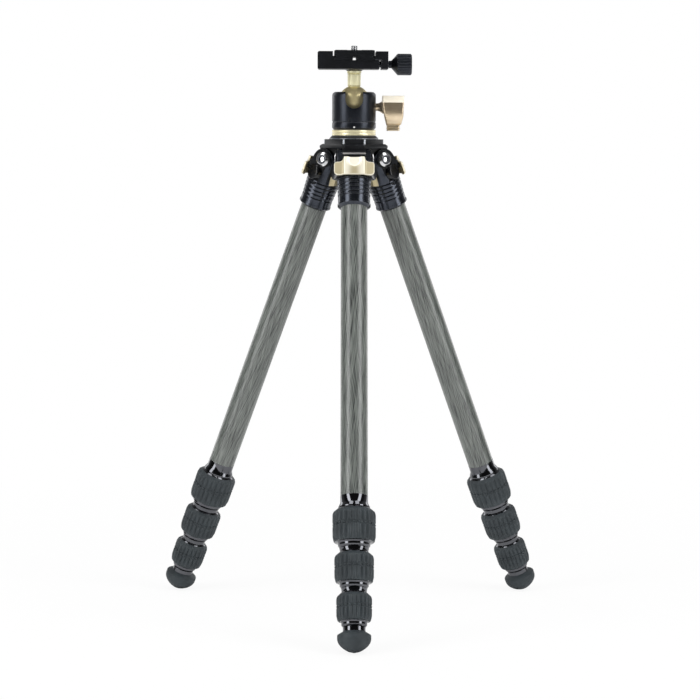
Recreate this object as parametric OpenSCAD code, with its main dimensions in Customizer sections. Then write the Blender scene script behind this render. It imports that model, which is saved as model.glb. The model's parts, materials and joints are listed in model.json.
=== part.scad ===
// Four-section travel tripod with a ball head, legs spread and every section pushed home.
// +Z is up and -Y is the front leg. The origin is the foot of the camera screw, on the top plate.
// Lengths are in millimetres.

/* [Stance] */
// Angle of each leg from the vertical at the first stop
leg_angle = 22.3; // [20:0.1:25]
// Distance of the leg pivots from the centre line
pivot_r = 25; // [25:0.5:30]

/* [Leg tubes] */
// Outside diameter of the upper tube
tube_d = 25; // [24.6:0.1:25.2]
// How much thinner each tube is than the one above it
tube_step = 3; // [2.6:0.1:3.2]
// Gap all round between a tube and the bore it slides in
tube_gap = 0.3; // [0.2:0.05:0.4]
// Distance along the leg from the pivot to the first twist lock
lock_1_at = 339.2; // [300:1:380]
// Distance along the leg from the pivot to the top of the upper tube
tube_top = 20; // [19:0.5:24]

/* [Twist locks] */
// Length of the upper grip
grip_1_len = 31.2; // [28:0.2:34]
// Length of the middle grip
grip_2_len = 27.8; // [25:0.2:31]
// Length of the lower grip
grip_3_len = 26.1; // [24:0.2:29]
// Wall of the upper grip round its tube
grip_1_wall = 7.2; // [6.6:0.05:7.4]
// Wall of the middle grip round its tube
grip_2_wall = 6.9; // [6.4:0.05:7.1]
// Wall of the lower grip round its tube
grip_3_wall = 6.6; // [6.2:0.05:6.8]
// Length of the tapered lip below each grip
lip_len = 5.3; // [4.8:0.1:6]
// Length of the flared collar above the middle and lower grips
flare_len = 3.7; // [3.2:0.1:4.4]
// Length of the flared collar above the upper grip
flare_1_len = 5; // [4:0.1:7]
// Length of the bright ring above the first flare
ring_len = 6.6; // [5:0.1:9]

/* [Feet] */
// How far the brim of a rubber foot stands out past its ferrule
foot_brim = 5.05; // [4:0.05:5.8]
// Height of a rubber foot
foot_len = 19.2; // [17:0.1:22]
// Wall of the ferrule round the lowest tube
ferrule_wall = 2.25; // [2:0.05:3]
// Length of ferrule that shows above the foot
ferrule_len = 3.9; // [3.2:0.1:5]

/* [Leg roots] */
// Wall of the leg root round the upper tube
root_wall = 3.7; // [3.5:0.05:3.8]
// Distance from the pivot to the bottom rim of the leg root
root_len = 49.3; // [46:0.1:54]
// Radius of the fork ears about the pivot
ear_r = 10.3; // [9.8:0.05:10.4]
// Half the gap between the fork ears
ear_in = 11.2; // [11.1:0.05:11.5]
// Distance from the centre of the fork to the outer face of an ear
ear_out = 16; // [15.6:0.1:16.2]
// Number of ribs round the leg root
rib_count = 5; // [3:1:6]

/* [Hub] */
// Width of the tongue that each fork ear pair swings on
tongue_w = 21.6; // [20.8:0.1:21.8]
// Radius of the rounded end of the tongue
knuckle_r = 10.6; // [10.2:0.05:10.7]
// Reach of the lower hub plate along a leg
plate_3_reach = 32.4; // [31.6:0.1:32.4]
// Reach of the upper hub plate along a leg
plate_2_reach = 27.6; // [26:0.1:28]
// Height of the lower plate above the pivots
plate_3_base = 10.8; // [10.75:0.05:11.2]
// Thickness of the lower hub plate
plate_3_h = 3.8; // [3.4:0.1:3.8]
// Thickness of the upper hub plate
plate_2_h = 4.5; // [4:0.1:5]
// Diameter of the pivot bolts
bolt_d = 8; // [6:0.2:9]
// Diameter of the pivot bolt heads
bolt_head_d = 13.8; // [12:0.1:14]

/* [Centre column] */
// Diameter of the centre column
column_d = 14; // [12:0.2:14]
// Length of the centre column below the platform
column_len = 104; // [80:1:120]
// Diameter of the round platform
platform_d = 47; // [44:0.5:50]
// Thickness of the platform
platform_h = 3.4; // [3:0.1:4]
// Reach of the lobes of the column lock
lobe_reach = 25.3; // [22:0.1:26]
// Width of each lobe
lobe_w = 10; // [8:0.1:10.2]
// Height of the column lock
lobe_h = 8.6; // [7:0.1:10]

/* [Ball head] */
// Diameter of the ball
ball_d = 30; // [28:0.2:31]
// Diameter of the housing
housing_d = 41.8; // [40:0.1:44]
// Height of the housing
housing_h = 35.9; // [34:0.1:38]
// Depth of the centre of the ball below the top of the housing
ball_drop = 8.9; // [8:0.1:9.5]
// Height of the panning base ring
pan_h = 5.8; // [5:0.1:7]
// Width of the notch that the stem drops into
notch_w = 16.8; // [15:0.1:18]
// Diameter of the stem
stem_d = 12.6; // [11:0.1:13]
// Distance from the centre of the ball to the underside of the clamp
stem_reach = 30.3; // [29:0.1:33]

/* [Clamp and plate] */
// Height of the clamp
clamp_h = 16.7; // [16:0.1:18]
// Length of the clamp from front to back
clamp_len = 50; // [44:1:56]
// Reach of the fixed jaw to the left of the centre
clamp_left = 35; // [33:0.5:38]
// Reach of the moving jaw to the right of the centre
clamp_right = 32; // [30.5:0.1:34]
// Width of the camera plate
plate_w = 38.3; // [37:0.1:39]
// Thickness of the camera plate
plate_h = 9.3; // [9:0.1:10]
// Length of the camera plate
plate_len = 52; // [46:1:60]
// Diameter of the camera screw thread
screw_d = 6.35; // [6:0.05:6.5]
// Length of thread that stands above the plate
screw_up = 4.7; // [4:0.1:6]
// Diameter of the clamp knob
clamp_knob_d = 20.5; // [18:0.1:22]
// Length of the rim of the clamp knob
clamp_knob_len = 14.7; // [12:0.1:16]

/* [Lock knobs] */
// Radius of the round end of the main lever
lever_r = 10.9; // [9.5:0.1:11.5]
// Reach of the main lever below its axis
lever_reach = 22.6; // [20:0.1:26]
// Width of the main lever at its top
lever_w = 21.2; // [18:0.1:23]
// Width of the main lever at its tip
lever_tip_w = 14; // [11:0.1:16]
// Diameter of the pan lock knob
pan_knob_d = 13; // [11:0.1:14]

/* [Hidden] */
$fn = 96;
LEGS = ["front", "right", "left"];
LEG_NODES = [
    "leg_root", "tube_1", "collar_1", "angle_latch", "grip_1", "tube_2", "collar_2", "grip_2",
    "tube_3", "collar_3", "grip_3", "tube_4", "ferrule", "foot"
];

// Colours
black = "#1c1c1f";
gold = "#c3ab7c";
silver = "#c9cacc";
carbon = "#55595a";
rubber = "#343c40";
glass = "#b9d24a";

// Fits and overruns
cut = 1;            // overrun of every cut past the face it opens
run_gap = 0.05;     // radial gap of a shaft that turns or slides in a bore
turn_gap = 0.1;     // radial gap of a screwed pair
face_gap = 0.1;     // gap between faces that slide past each other
seat_gap = 0.2;     // gap between stacked locks
bond_gap = 0.02;    // glue line

// Fixed angles
leg_turn = 360 / len(LEGS);
front_turn = -90;

// Stack of the hub and head, as heights above the leg pivots
plate_2_base = plate_3_base + plate_3_h;
platform_base = plate_2_base + plate_2_h;
pan_base_z = platform_base + platform_h;
housing_z = pan_base_z + pan_h;
housing_top = housing_z + housing_h;
ball_z = housing_top - ball_drop;
clamp_z = ball_z + stem_reach;
clamp_top = clamp_z + clamp_h;
plate_lift = 1;     // the camera plate stands this far above the clamp
slab_h = 5.3;       // thickness of the camera plate above its dovetail
seat_z = clamp_top + plate_lift;
plate_z = seat_z - plate_h;
waist_z = seat_z - slab_h;

// Telescoping sections, counted from 0
grip_lens = [grip_1_len, grip_2_len, grip_3_len];
grip_walls = [grip_1_wall, grip_2_wall, grip_3_wall];
grip_top_wall = 2;  // wall of each grip round its tube at the very top
grip_shoulder = 1.1; // how far the shoulder below that draws in
grip_foot = 1.9;    // how far each grip draws in at its bottom
groove_depth = 1.3;
groove_half = 0.7;
groove_slope = 0.9;
grip_round = 3.8;   // length of the chamfer at the top of a grip
flute_count = 24;
flute_r = 1.7;
flute_deep = 0.95;
flute_land = 0.3;   // the flutes stop this far from the slopes
shoulder_len = 2.2; // length of the slope below the chamfer at the top
foot_chamfer = 5;   // length of the slope at the bottom of a grip
flange_len = 1.1;   // length of the flare that widens to the grip
nut_floor = 7;      // depth of solid nut below the thread
thread_wall = 1.2;  // wall of the threaded sleeve outside the tube
socket_len = 12;    // how far a tube reaches into its collar past the flare
bush_len = 12;      // length of the bushing on the top of an inner tube
nest_step = 4;      // each inner tube starts this much lower than the one outside it
lip_wall = 2.2;     // wall of the lip at its lower end
ring_proud = 0.15;  // the bright ring stands proud of the upper tube

function tube_r(k) = tube_d / 2 - k * tube_step / 2;
function tube_bore(k) = tube_r(k + 1) + tube_gap;
function grip_r(k) = tube_r(k) + grip_walls[k];
function lap_r(k) = k == 0 ? (tube_r(k) + tube_bore(k)) / 2 : tube_r(k);
function lock_top(k) =
    k == 0 ? lock_1_at : lock_bottom(k - 1) + lip_len + seat_gap + flare_len;
function lock_bottom(k) = lock_top(k) + grip_lens[k];
function flare_top(k) = k == 0 ? lock_top(0) - flare_1_len : lock_top(k) - flare_len;
function lip_r(k) = tube_bore(k) + lip_wall;
function tube_end(k) = k < 3 ? lock_top(k) + socket_len : foot_top + spigot_len;
function tube_start(k) = tube_top + k * nest_step;

// Foot
spigot_len = 6;     // length of the ferrule inside the foot
spigot_wall = 1.2;
ferrule_r = tube_r(3) + ferrule_wall;
foot_r = ferrule_r + foot_brim;
foot_top = lock_bottom(2) + lip_len + seat_gap + ferrule_len;
foot_shoulder = foot_len / 3;
foot_round = 0.6;   // power that draws the dome of the foot to a blunt point
dome_steps = 9;

// Leg root
root_r = tube_d / 2 + root_wall;
rib_pitch = 3.85;
band_len = 4;       // plain band below the ribs
rim_len = 1.8;
rim_proud = 0.5;
rim_taper = 2;      // length of the chamfer under the rim
waist_draw = 1.1;   // the ribbed part narrows this much to the band
rib_depth = 0.7;
fork_r = 12.7;      // clear radius between the ears
ear_blend = 14;     // distance from the pivot at which the ears reach full width
block_out = root_r + seat_gap; // face that the latch lies on, from the leg axis
bezel_wall = 1.4;
bezel_gap = 0.4;
bezel_h = 1.5;
ribs_from = root_len - rim_taper - rim_len - band_len - rib_count * rib_pitch;
scallop_r = 6.4;
scallop_depth = 1.5;
scallop_at = 12.6;
last_stop = 80;     // angle of a leg from the vertical at its last stop
plate_play = 0.3;   // clearance under the hub plate at the last stop

// Angle latch
latch_top = 3.9;
latch_len = 17.8;
latch_t = 2.6;
latch_out = block_out + seat_gap + latch_t; // outer face from the leg axis
latch_flat = 10.8;  // half the width of the flat front
latch_half = 19;    // half the width over the wings
latch_sweep = 3;    // how far the wing tips turn back
latch_corner = 4.6;
nose_half = 7;
nose_top = 10.6;
nose_h = 3;
nose_in = 3.8;
nose_gap = 0.3;
scoop_r = 12;
scoop_at = 3.5;
scoop_out = 9.4;

// Hub
hub_core_r = 16;
core_drop = 2.8;
guide_r = 8.5;
guide_drop = 16.4;
stop_pin_r = 1;
stop_pin_out = 8.4;
stop_pin_up = 5.8;
stop_angles = [-44, -14.5, 13.5];
stop_depth = 1.6;
stop_half = 1.9;
tongue_out = 6;     // how far the tongue's square shoulder passes the pivot
bevel = 1.2;
bolt_head_h = 2.5;
bolt_bevel = 2.2;   // width of the sloping rim of a bolt head
socket_r = 2.9;
socket_depth = 1.6;
edge_draw = 4;      // how far the plate edge slopes in towards the top
plate_corner = 1.5; // cut across the corners of the hub plates

// Column
hook_r = 5.2;
hook_wire = 1.3;
stud_r = 4.7;
stud_len = 3.6;     // length of the stud inside the housing
lock_gap = 0.4;
lock_draw = 2.5;    // how far the lobes draw in at the top

// Head
corner_r = 3.6;
mouth_bevel = 1.1;
ring_groove = 0.6;
split_z = 7.3;      // height of the split line above the base of the housing
mouth_play = 0.6;   // the lock screws stop this far short of the ball and the stud
neck_h = 1;         // groove where the stem leaves the ball
stem_groove = 0.5;  // depth of the grooves round the stem
stem_rim_h = 2.1;   // height of the rim at the top of the stem
stem_rim_out = 0.55;

// Clamp
boss_r = 9.25;
boss_low_r = 7.25;
boss_h = 1.3;
clamp_jaw_w = 6.4;
jaw_gap = 2;        // gap between the body and the moving jaw
dovetail_draw = 2.2;
dovetail_flat = 0.4;
channel_gap = 0.15;
slit_w = 1.3;
knob_axis_up = 4.9; // height of the clamp knob axis above the base of the clamp
knob_neck_len = 7.4;
knob_neck_gap = 0.9;
knob_neck_r = 3.6;
spindle_r = 3;
level_r = 4.5;
level_deep = 3;
head_r = 6;
head_h = 3.6;
screw_neck_r = 2.4; // plain neck of the camera screw inside the plate
screw_tip = 0.5;    // chamfer at the tip of the camera screw
coin_w = 3.3;
coin_deep = 2.9;
grip_cuts = 24;
grip_cut_r = 1;

// Lever
lever_gap = 6;      // gap between the housing and the lever
lever_shaft_r = 3.6;
lever_tip_r = 4.2;
lever_drop = 5.4;   // depth of the lever axis below the centre of the ball
lever_waist = 8;    // below its axis by this much the lever starts to narrow
lever_neck = 16.8;  // and from this it is a ribbed tip
lever_step = 0.8;   // step down to the tip, and how far the outer side bulges
lever_ribs = 3;
lever_rib_pitch = 1.6;
lever_rib_deep = 0.5;
lever_z = ball_z - lever_drop;
pan_knob_len = 9;
pan_neck_r = 3;
pan_neck_len = 4;

// Placing

module from_pivots() {
    translate([0, 0, -seat_z]) children();
}

// Local frame of a leg: origin at its pivot, +X away from the centre, -Z down the leg
module on_leg(leg) {
    i = search([leg], LEGS)[0];
    from_pivots() rotate([0, 0, front_turn + i * leg_turn])
        translate([pivot_r, 0, 0]) rotate([0, -leg_angle, 0]) children();
}

module on_arms() {
    for (i = [0 : len(LEGS) - 1])
        rotate([0, 0, front_turn + i * leg_turn]) children();
}

// A ring turned about the leg axis from points [radius, distance down the leg]
module turned(points) {
    rotate_extrude() polygon([for (p = points) [p[0], -p[1]]]);
}

// A cylinder across the leg, along the pivot axis
module across(r, from, to) {
    rotate([-90, 0, 0]) translate([0, 0, from]) cylinder(r = r, h = to - from);
}

// Legs

module tube(leg, k) {
    color(carbon) on_leg(leg) {
        start = tube_start(k);
        end = tube_end(k);
        bore = tube_bore(k);
        bush = k > 0 ? tube_bore(k - 1) - run_gap : tube_r(k);
        turned(concat(
            [[bore, start], [bush, start], [bush, start + bush_len],
             [tube_r(k), start + bush_len]],
            k == 0 ? [[tube_r(k), flare_top(0) - ring_len], [lap_r(0), flare_top(0) - ring_len]]
                   : [],
            [[lap_r(k), end], [bore, end]]
        ));
    }
}

module collar(leg, k) {
    color(black) on_leg(leg) {
        thread_r = tube_r(k) + thread_wall;
        inner = lap_r(k) + bond_gap;
        top = k == 0 ? flare_top(0) - ring_len : flare_top(k);
        top_r = k == 0 ? tube_r(0) + ring_proud : lip_r(k - 1);
        flange_r = tube_r(k) + grip_top_wall;
        low = lock_top(k) - face_gap;
        foot = lock_bottom(k) - nut_floor - face_gap;
        turned(concat(
            [[inner, top], [top_r, top]],
            k == 0 ? [[top_r, flare_top(0)]] : [],
            [[flange_r, low - flange_len], [flange_r, low], [thread_r, low], [thread_r, foot],
             [tube_bore(k), foot], [tube_bore(k), tube_end(k)], [inner, tube_end(k)]]
        ));
    }
}

module grip(leg, k) {
    r = grip_r(k);
    top = lock_top(k);
    low = lock_bottom(k);
    mid = (top + low) / 2;
    land = groove_half + groove_slope + flute_land;
    rows = [[top + grip_round + shoulder_len + flute_land, mid - land],
        [mid + land, low - foot_chamfer - flute_land]];
    color(rubber) on_leg(leg) difference() {
        thread_r = tube_r(k) + thread_wall + turn_gap;
        turned([
            [thread_r, top], [tube_r(k) + grip_top_wall, top],
            [r - grip_shoulder, top + grip_round], [r, rows[0][0] - flute_land],
            [r, rows[0][1] + flute_land], [r - groove_depth, mid - groove_half],
            [r - groove_depth, mid + groove_half], [r, rows[1][0] - flute_land],
            [r, rows[1][1] + flute_land], [r - grip_foot, low],
            [(r + lip_r(k)) / 2, low + lip_len / 4],
            [lip_r(k), low + lip_len / 2], [lip_r(k), low + lip_len],
            [tube_bore(k), low + lip_len], [tube_bore(k), low - nut_floor],
            [thread_r, low - nut_floor]
        ]);
        for (i = [0 : flute_count - 1], row = rows) rotate([0, 0, i * 360 / flute_count])
            translate([r + flute_r - flute_deep, 0, -row[1]])
                cylinder(r = flute_r, h = row[1] - row[0]);
    }
}

module ferrule(leg) {
    color(black) on_leg(leg) {
        top = foot_top - ferrule_len;
        inner = tube_r(3) + bond_gap;
        turned([
            [inner, top], [ferrule_r, top], [ferrule_r, foot_top],
            [inner + spigot_wall, foot_top], [inner + spigot_wall, foot_top + spigot_len],
            [inner, foot_top + spigot_len]
        ]);
    }
}

module foot(leg) {
    color(rubber) on_leg(leg) {
        inner = tube_r(3) + bond_gap + spigot_wall + bond_gap;
        dome = foot_len - foot_shoulder;
        turned(concat(
            [[inner, foot_top], [ferrule_r, foot_top], [foot_r, foot_top + foot_shoulder / 2],
             [foot_r, foot_top + foot_shoulder]],
            [for (i = [1 : dome_steps])
                let (u = i / dome_steps)
                [i < dome_steps ? foot_r * pow(cos(90 * u), foot_round) : 0,
                 foot_top + foot_shoulder + dome * u]],
            [[0, foot_top + spigot_len + bond_gap], [inner, foot_top + spigot_len + bond_gap]]
        ));
    }
}

// Point where a line from p touches a circle of radius r about the origin
function touch(p, r, side) =
    let (a = atan2(p[1], p[0]) + side * acos(r / norm(p))) [r * cos(a), r * sin(a)];

module ear_outline() {
    circle(r = ear_r);
    corner = [block_out, -ear_blend];
    other = [-block_out, -ear_blend];
    polygon([touch(corner, ear_r, 1), corner, other, touch(other, ear_r, -1), [0, 0]]);
}

module leg_root(leg) {
    corner_out = block_out - latch_sweep * (ear_out - latch_flat) / (latch_half - latch_flat);
    plate_out = plate_3_reach - pivot_r + plate_play;
    color(black) on_leg(leg) difference() {
        union() {
            leg_sleeve();
            intersection() {
                rotate([90, 0, 0]) linear_extrude(height = 2 * ear_out, center = true)
                    ear_outline();
                union() {
                    translate([0, 0, -ear_blend]) linear_extrude(height = 2 * ear_blend) polygon([
                        [0, -ear_out], [corner_out, -ear_out], [block_out, -latch_flat],
                        [block_out, latch_flat], [corner_out, ear_out], [0, ear_out]
                    ]);
                    translate([0, 0, -ear_blend])
                        cylinder(r = norm([ear_out, ear_r / 2]), h = 2 * ear_blend);
                }
            }
            for (side = [-1, 1]) mirror([0, side < 0 ? 1 : 0, 0])
                across(bolt_head_d / 2 + bezel_gap + bezel_wall, ear_in, ear_out + bezel_h);
        }
        across(fork_r, -ear_in, ear_in);
        translate([-fork_r, -ear_in, 0]) cube([2 * fork_r, 2 * ear_in, fork_r]);
        across(bolt_d / 2 + run_gap, -ear_out - cut, ear_out + cut);
        for (side = [-1, 1]) mirror([0, side < 0 ? 1 : 0, 0]) {
            across(bolt_head_d / 2 + bezel_gap, ear_out, ear_out + bezel_h + cut);
            translate([root_r, 0, -scallop_at])
                across(scallop_r, ear_out - scallop_depth, ear_out + cut);
        }
        translate([0, -nose_half - nose_gap, -nose_top - nose_h - nose_gap])
            cube([root_r + cut, 2 * (nose_half + nose_gap), nose_h + 2 * nose_gap]);
        rotate([0, last_stop, 0])
            translate([plate_out - plate_3_reach, -ear_out - cut, plate_3_base - plate_play])
                cube([plate_3_reach, 2 * (ear_out + cut), plate_3_h]);
        translate([0, 0, -root_len - cut])
            cylinder(r = tube_r(0) + bond_gap, h = root_len + cut - tube_top);
    }
}

module leg_sleeve() {
    band = root_len - rim_taper - rim_len - band_len;
    rim_r = root_r - waist_draw + rim_proud;
    function waist(s) = root_r - waist_draw * (s - ribs_from) / (band - ribs_from);
    turned(concat(
        [[0, ear_blend], [root_r, ear_blend], [root_r, ribs_from]],
        [for (i = [0 : rib_count - 1], p = [[0, rib_depth], [1 / 4, rib_depth], [1 / 2, 0], [1, 0]])
            let (s = ribs_from + (i + p[0]) * rib_pitch) [waist(s) - p[1], s]],
        [[waist(band), band + band_len], [rim_r, band + band_len],
         [rim_r, band + band_len + rim_len], [tube_r(0) + bezel_gap, root_len], [0, root_len]]
    ));
}

module angle_latch(leg) {
    color(gold) on_leg(leg) {
        difference() {
            intersection() {
                translate([0, 0, -latch_top - latch_len]) linear_extrude(height = latch_len)
                    polygon([
                        [latch_out, -latch_flat], [latch_out, latch_flat],
                        [latch_out - latch_sweep, latch_half],
                        [latch_out - latch_sweep - latch_t, latch_half],
                        [latch_out - latch_t, latch_flat], [latch_out - latch_t, -latch_flat],
                        [latch_out - latch_sweep - latch_t, -latch_half],
                        [latch_out - latch_sweep, -latch_half]
                    ]);
                rotate([0, 90, 0]) linear_extrude(height = latch_out + cut) latch_front();
            }
            translate([latch_out + scoop_out, 0, -latch_top - scoop_at]) sphere(r = scoop_r);
        }
        translate([nose_in, -nose_half, -nose_top - nose_h])
            cube([latch_out - latch_t / 2 - nose_in, 2 * nose_half, nose_h]);
    }
}

// Front of the latch, drawn with its first axis down the leg
module latch_front() {
    low = latch_top + latch_len;
    bite_at = latch_half - latch_corner;
    difference() {
        polygon([
            [latch_top, -bite_at], [latch_top, bite_at],
            [latch_top + latch_corner, latch_half - latch_corner / 2],
            [latch_top + latch_corner * 3 / 2, latch_half], [low - latch_corner, latch_half],
            [low, latch_half - latch_corner], [low, -latch_half + latch_corner],
            [low - latch_corner, -latch_half], [latch_top + latch_corner * 3 / 2, -latch_half],
            [latch_top + latch_corner, -latch_half + latch_corner / 2]
        ]);
        for (side = [-1, 1]) translate([latch_top, side * bite_at]) circle(r = latch_corner);
    }
}

// Hub

// Three-armed plate outline that reaches this far along each leg
module spider(reach) {
    half = tongue_w / 2;
    corners = [[reach - plate_corner, -half], [reach, plate_corner - half],
        [reach, half - plate_corner], [reach - plate_corner, half]];
    polygon([for (i = [0 : len(LEGS) - 1], p = corners)
        let (a = front_turn + i * leg_turn)
        [p[0] * cos(a) - p[1] * sin(a), p[0] * sin(a) + p[1] * cos(a)]]);
}

module hub() {
    color(black) from_pivots() difference() {
        union() {
            intersection() {
                translate([0, 0, plate_3_base]) linear_extrude(height = plate_3_h)
                    spider(plate_3_reach);
                translate([0, 0, plate_3_base])
                    cylinder(r1 = norm([plate_3_reach, tongue_w / 2]) + plate_3_h,
                        r2 = norm([plate_3_reach, tongue_w / 2]) - edge_draw, h = plate_3_h);
            }
            translate([0, 0, plate_2_base]) linear_extrude(height = plate_2_h)
                spider(plate_2_reach);
            translate([0, 0, -core_drop]) cylinder(r = hub_core_r, h = core_drop + plate_3_base);
            translate([0, 0, -guide_drop]) cylinder(r = guide_r, h = guide_drop);
            on_arms() tongue();
        }
        translate([0, 0, -guide_drop - cut])
            cylinder(r = column_d / 2 + run_gap, h = guide_drop + platform_base + 2 * cut);
        on_arms() translate([pivot_r, 0, 0]) {
            across(bolt_d / 2 + run_gap, -tongue_w / 2 - cut, tongue_w / 2 + cut);
            translate([stop_pin_out, 0, stop_pin_up])
                across(stop_pin_r + run_gap, -tongue_w / 2 - cut, tongue_w / 2 + cut);
            for (a = stop_angles) rotate([0, -a, 0])
                translate([knuckle_r - stop_depth, -nose_half - nose_gap, -stop_half])
                    cube([stop_depth + cut, 2 * (nose_half + nose_gap), 2 * stop_half]);
        }
    }
}

module tongue() {
    translate([pivot_r, 0, 0]) across(knuckle_r, -tongue_w / 2, tongue_w / 2);
    translate([0, -tongue_w / 2, 0])
        cube([pivot_r + tongue_out, tongue_w, plate_3_base]);
}

module pivot_bolts() {
    color(silver) from_pivots() on_arms() translate([pivot_r, 0, 0]) difference() {
        union() {
            across(bolt_d / 2, -ear_out - face_gap, ear_out + face_gap);
            for (side = [-1, 1]) mirror([0, side < 0 ? 1 : 0, 0])
                translate([0, ear_out + face_gap, 0]) rotate([-90, 0, 0]) {
                    cylinder(r = bolt_head_d / 2, h = bolt_head_h / 2);
                    translate([0, 0, bolt_head_h / 2])
                        cylinder(r1 = bolt_head_d / 2, r2 = bolt_head_d / 2 - bolt_bevel,
                            h = bolt_head_h / 2);
                }
        }
        for (side = [-1, 1]) mirror([0, side < 0 ? 1 : 0, 0])
            translate([0, ear_out + face_gap + bolt_head_h - socket_depth, 0]) rotate([-90, 0, 0])
                cylinder(r = socket_r, h = socket_depth + cut, $fn = 6);
    }
}

module stop_pins() {
    color(silver) from_pivots() on_arms() translate([pivot_r + stop_pin_out, 0, stop_pin_up])
        across(stop_pin_r, -tongue_w / 2, tongue_w / 2);
}

// Centre column

module column_lock() {
    top = -guide_drop - lock_gap;
    color(gold) from_pivots() difference() {
        intersection() {
            union() {
                translate([0, 0, top - lobe_h]) cylinder(r = guide_r, h = lobe_h);
                for (i = [0 : len(LEGS) - 1])
                    rotate([0, 0, front_turn + (i + 1 / 2) * leg_turn])
                        translate([0, -lobe_w / 2, top - lobe_h]) cube([lobe_reach, lobe_w, lobe_h]);
            }
            translate([0, 0, top - lobe_h])
                cylinder(r1 = lobe_reach, r2 = lobe_reach - lock_draw, h = lobe_h);
        }
        translate([0, 0, top - lobe_h - cut])
            cylinder(r = column_d / 2 + run_gap, h = lobe_h + 2 * cut);
    }
}

module centre_column() {
    low = platform_base - column_len;
    color(black) from_pivots() {
        translate([0, 0, low]) cylinder(r = column_d / 2, h = column_len);
        translate([0, 0, low + column_len / 2])
            cylinder(r = stud_r, h = column_len / 2 + platform_h + pan_h + stud_len);
        translate([0, 0, low - hook_r]) rotate([90, 0, 0]) rotate_extrude()
            translate([hook_r, 0]) circle(r = hook_wire);
    }
}

module platform() {
    r = platform_d / 2;
    color(black) from_pivots() translate([0, 0, platform_base]) rotate_extrude() polygon([
        [stud_r + bond_gap, 0], [r, 0], [r, platform_h / 4],
        [r - platform_h * 3 / 4, platform_h], [stud_r + bond_gap, platform_h]
    ]);
}

// Ball head

module pan_base() {
    r = housing_d / 2;
    color(gold) from_pivots() translate([0, 0, pan_base_z]) rotate_extrude() polygon([
        [stud_r + bond_gap, 0], [r - ring_groove, 0], [r, ring_groove],
        [r, pan_h / 2 - ring_groove], [r - ring_groove, pan_h / 2], [r, pan_h / 2 + ring_groove],
        [r, pan_h - ring_groove], [r - ring_groove, pan_h - face_gap],
        [stud_r + bond_gap, pan_h - face_gap]
    ]);
}

module ball_housing() {
    r = housing_d / 2;
    color(black) from_pivots() difference() {
        rotate_extrude() union() {
            polygon([
                [0, housing_z], [r - corner_r / 2, housing_z], [r, housing_z + corner_r / 2],
                [r, housing_z + split_z - groove_half], [r - groove_half, housing_z + split_z],
                [r, housing_z + split_z + groove_half], [r, housing_top - corner_r],
                [r - corner_r, housing_top - corner_r], [r - corner_r, housing_top], [0, housing_top]
            ]);
            intersection() {
                translate([r - corner_r, housing_top - corner_r]) circle(r = corner_r);
                translate([r - corner_r, housing_top - corner_r]) square(corner_r);
            }
        }
        translate([0, 0, ball_z]) sphere(r = ball_d / 2 + face_gap);
        translate([0, 0, housing_top - mouth_bevel])
            cylinder(r1 = mouth_r(), r2 = mouth_r() + mouth_bevel + cut, h = mouth_bevel + cut);
        notch();
        translate([0, 0, housing_z - cut]) cylinder(r = stud_r + run_gap, h = stud_len + face_gap + cut);
        translate([0, 0, lever_z]) rotate([0, 90, 0])
            cylinder(r = lever_shaft_r + run_gap, h = r + cut);
        translate([0, 0, housing_z + split_z / 2]) rotate([-90, 0, 0])
            cylinder(r = pan_neck_r + run_gap, h = r + cut);
    }
}

function mouth_r() = sqrt(pow(ball_d / 2 + face_gap, 2) - pow(ball_drop, 2));

module notch() {
    low = ball_z - stem_d / 2 - seat_gap * 3;
    translate([0, 0, low + notch_w / 2]) rotate([90, 0, 0])
        cylinder(r = notch_w / 2, h = housing_d);
    translate([-notch_w / 2, -housing_d, low + notch_w / 2])
        cube([notch_w, housing_d, housing_top]);
}

module ball() {
    color(gold) from_pivots() translate([0, 0, ball_z]) sphere(r = ball_d / 2);
}

module ball_stem() {
    r = stem_d / 2;
    top = stem_reach - boss_h - face_gap;
    neck = sqrt(pow(ball_d / 2, 2) - pow(r, 2));
    rim = top - stem_rim_h;
    color(gold) from_pivots() translate([0, 0, ball_z]) difference() {
        rotate_extrude() polygon([
            [0, ball_d / 3], [r - stem_groove, ball_d / 3], [r - stem_groove, neck + neck_h],
            [r, neck + neck_h + stem_groove], [r, rim - 2 * stem_groove],
            [r - stem_groove, rim - stem_groove], [r + stem_rim_out, rim],
            [r + stem_rim_out, top], [0, top]
        ]);
        sphere(r = ball_d / 2 + face_gap / 2);
    }
}

// Clamp

// Half outline of the dovetail under the camera plate, as [across, height]
function dovetail(gap) = [
    [plate_w / 2 + gap, plate_z + dovetail_flat],
    [plate_w / 2 - dovetail_draw + gap, waist_z - dovetail_flat],
    [plate_w / 2 - dovetail_draw + gap, waist_z - gap]
];

// The same outline as the lip that holds it, up to the top of the clamp
function lip(side) = [
    for (p = concat(dovetail(channel_gap), [[lip_x(), waist_z - channel_gap], [lip_x(), clamp_top]]))
        [side * p[0], p[1]]
];

function lip_x() = plate_w / 2 + slit_w;

function reversed(points) = [for (i = [len(points) - 1 : -1 : 0]) points[i]];

module front_to_back(length) {
    translate([0, length / 2, 0]) rotate([90, 0, 0]) linear_extrude(height = length) children();
}

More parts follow.
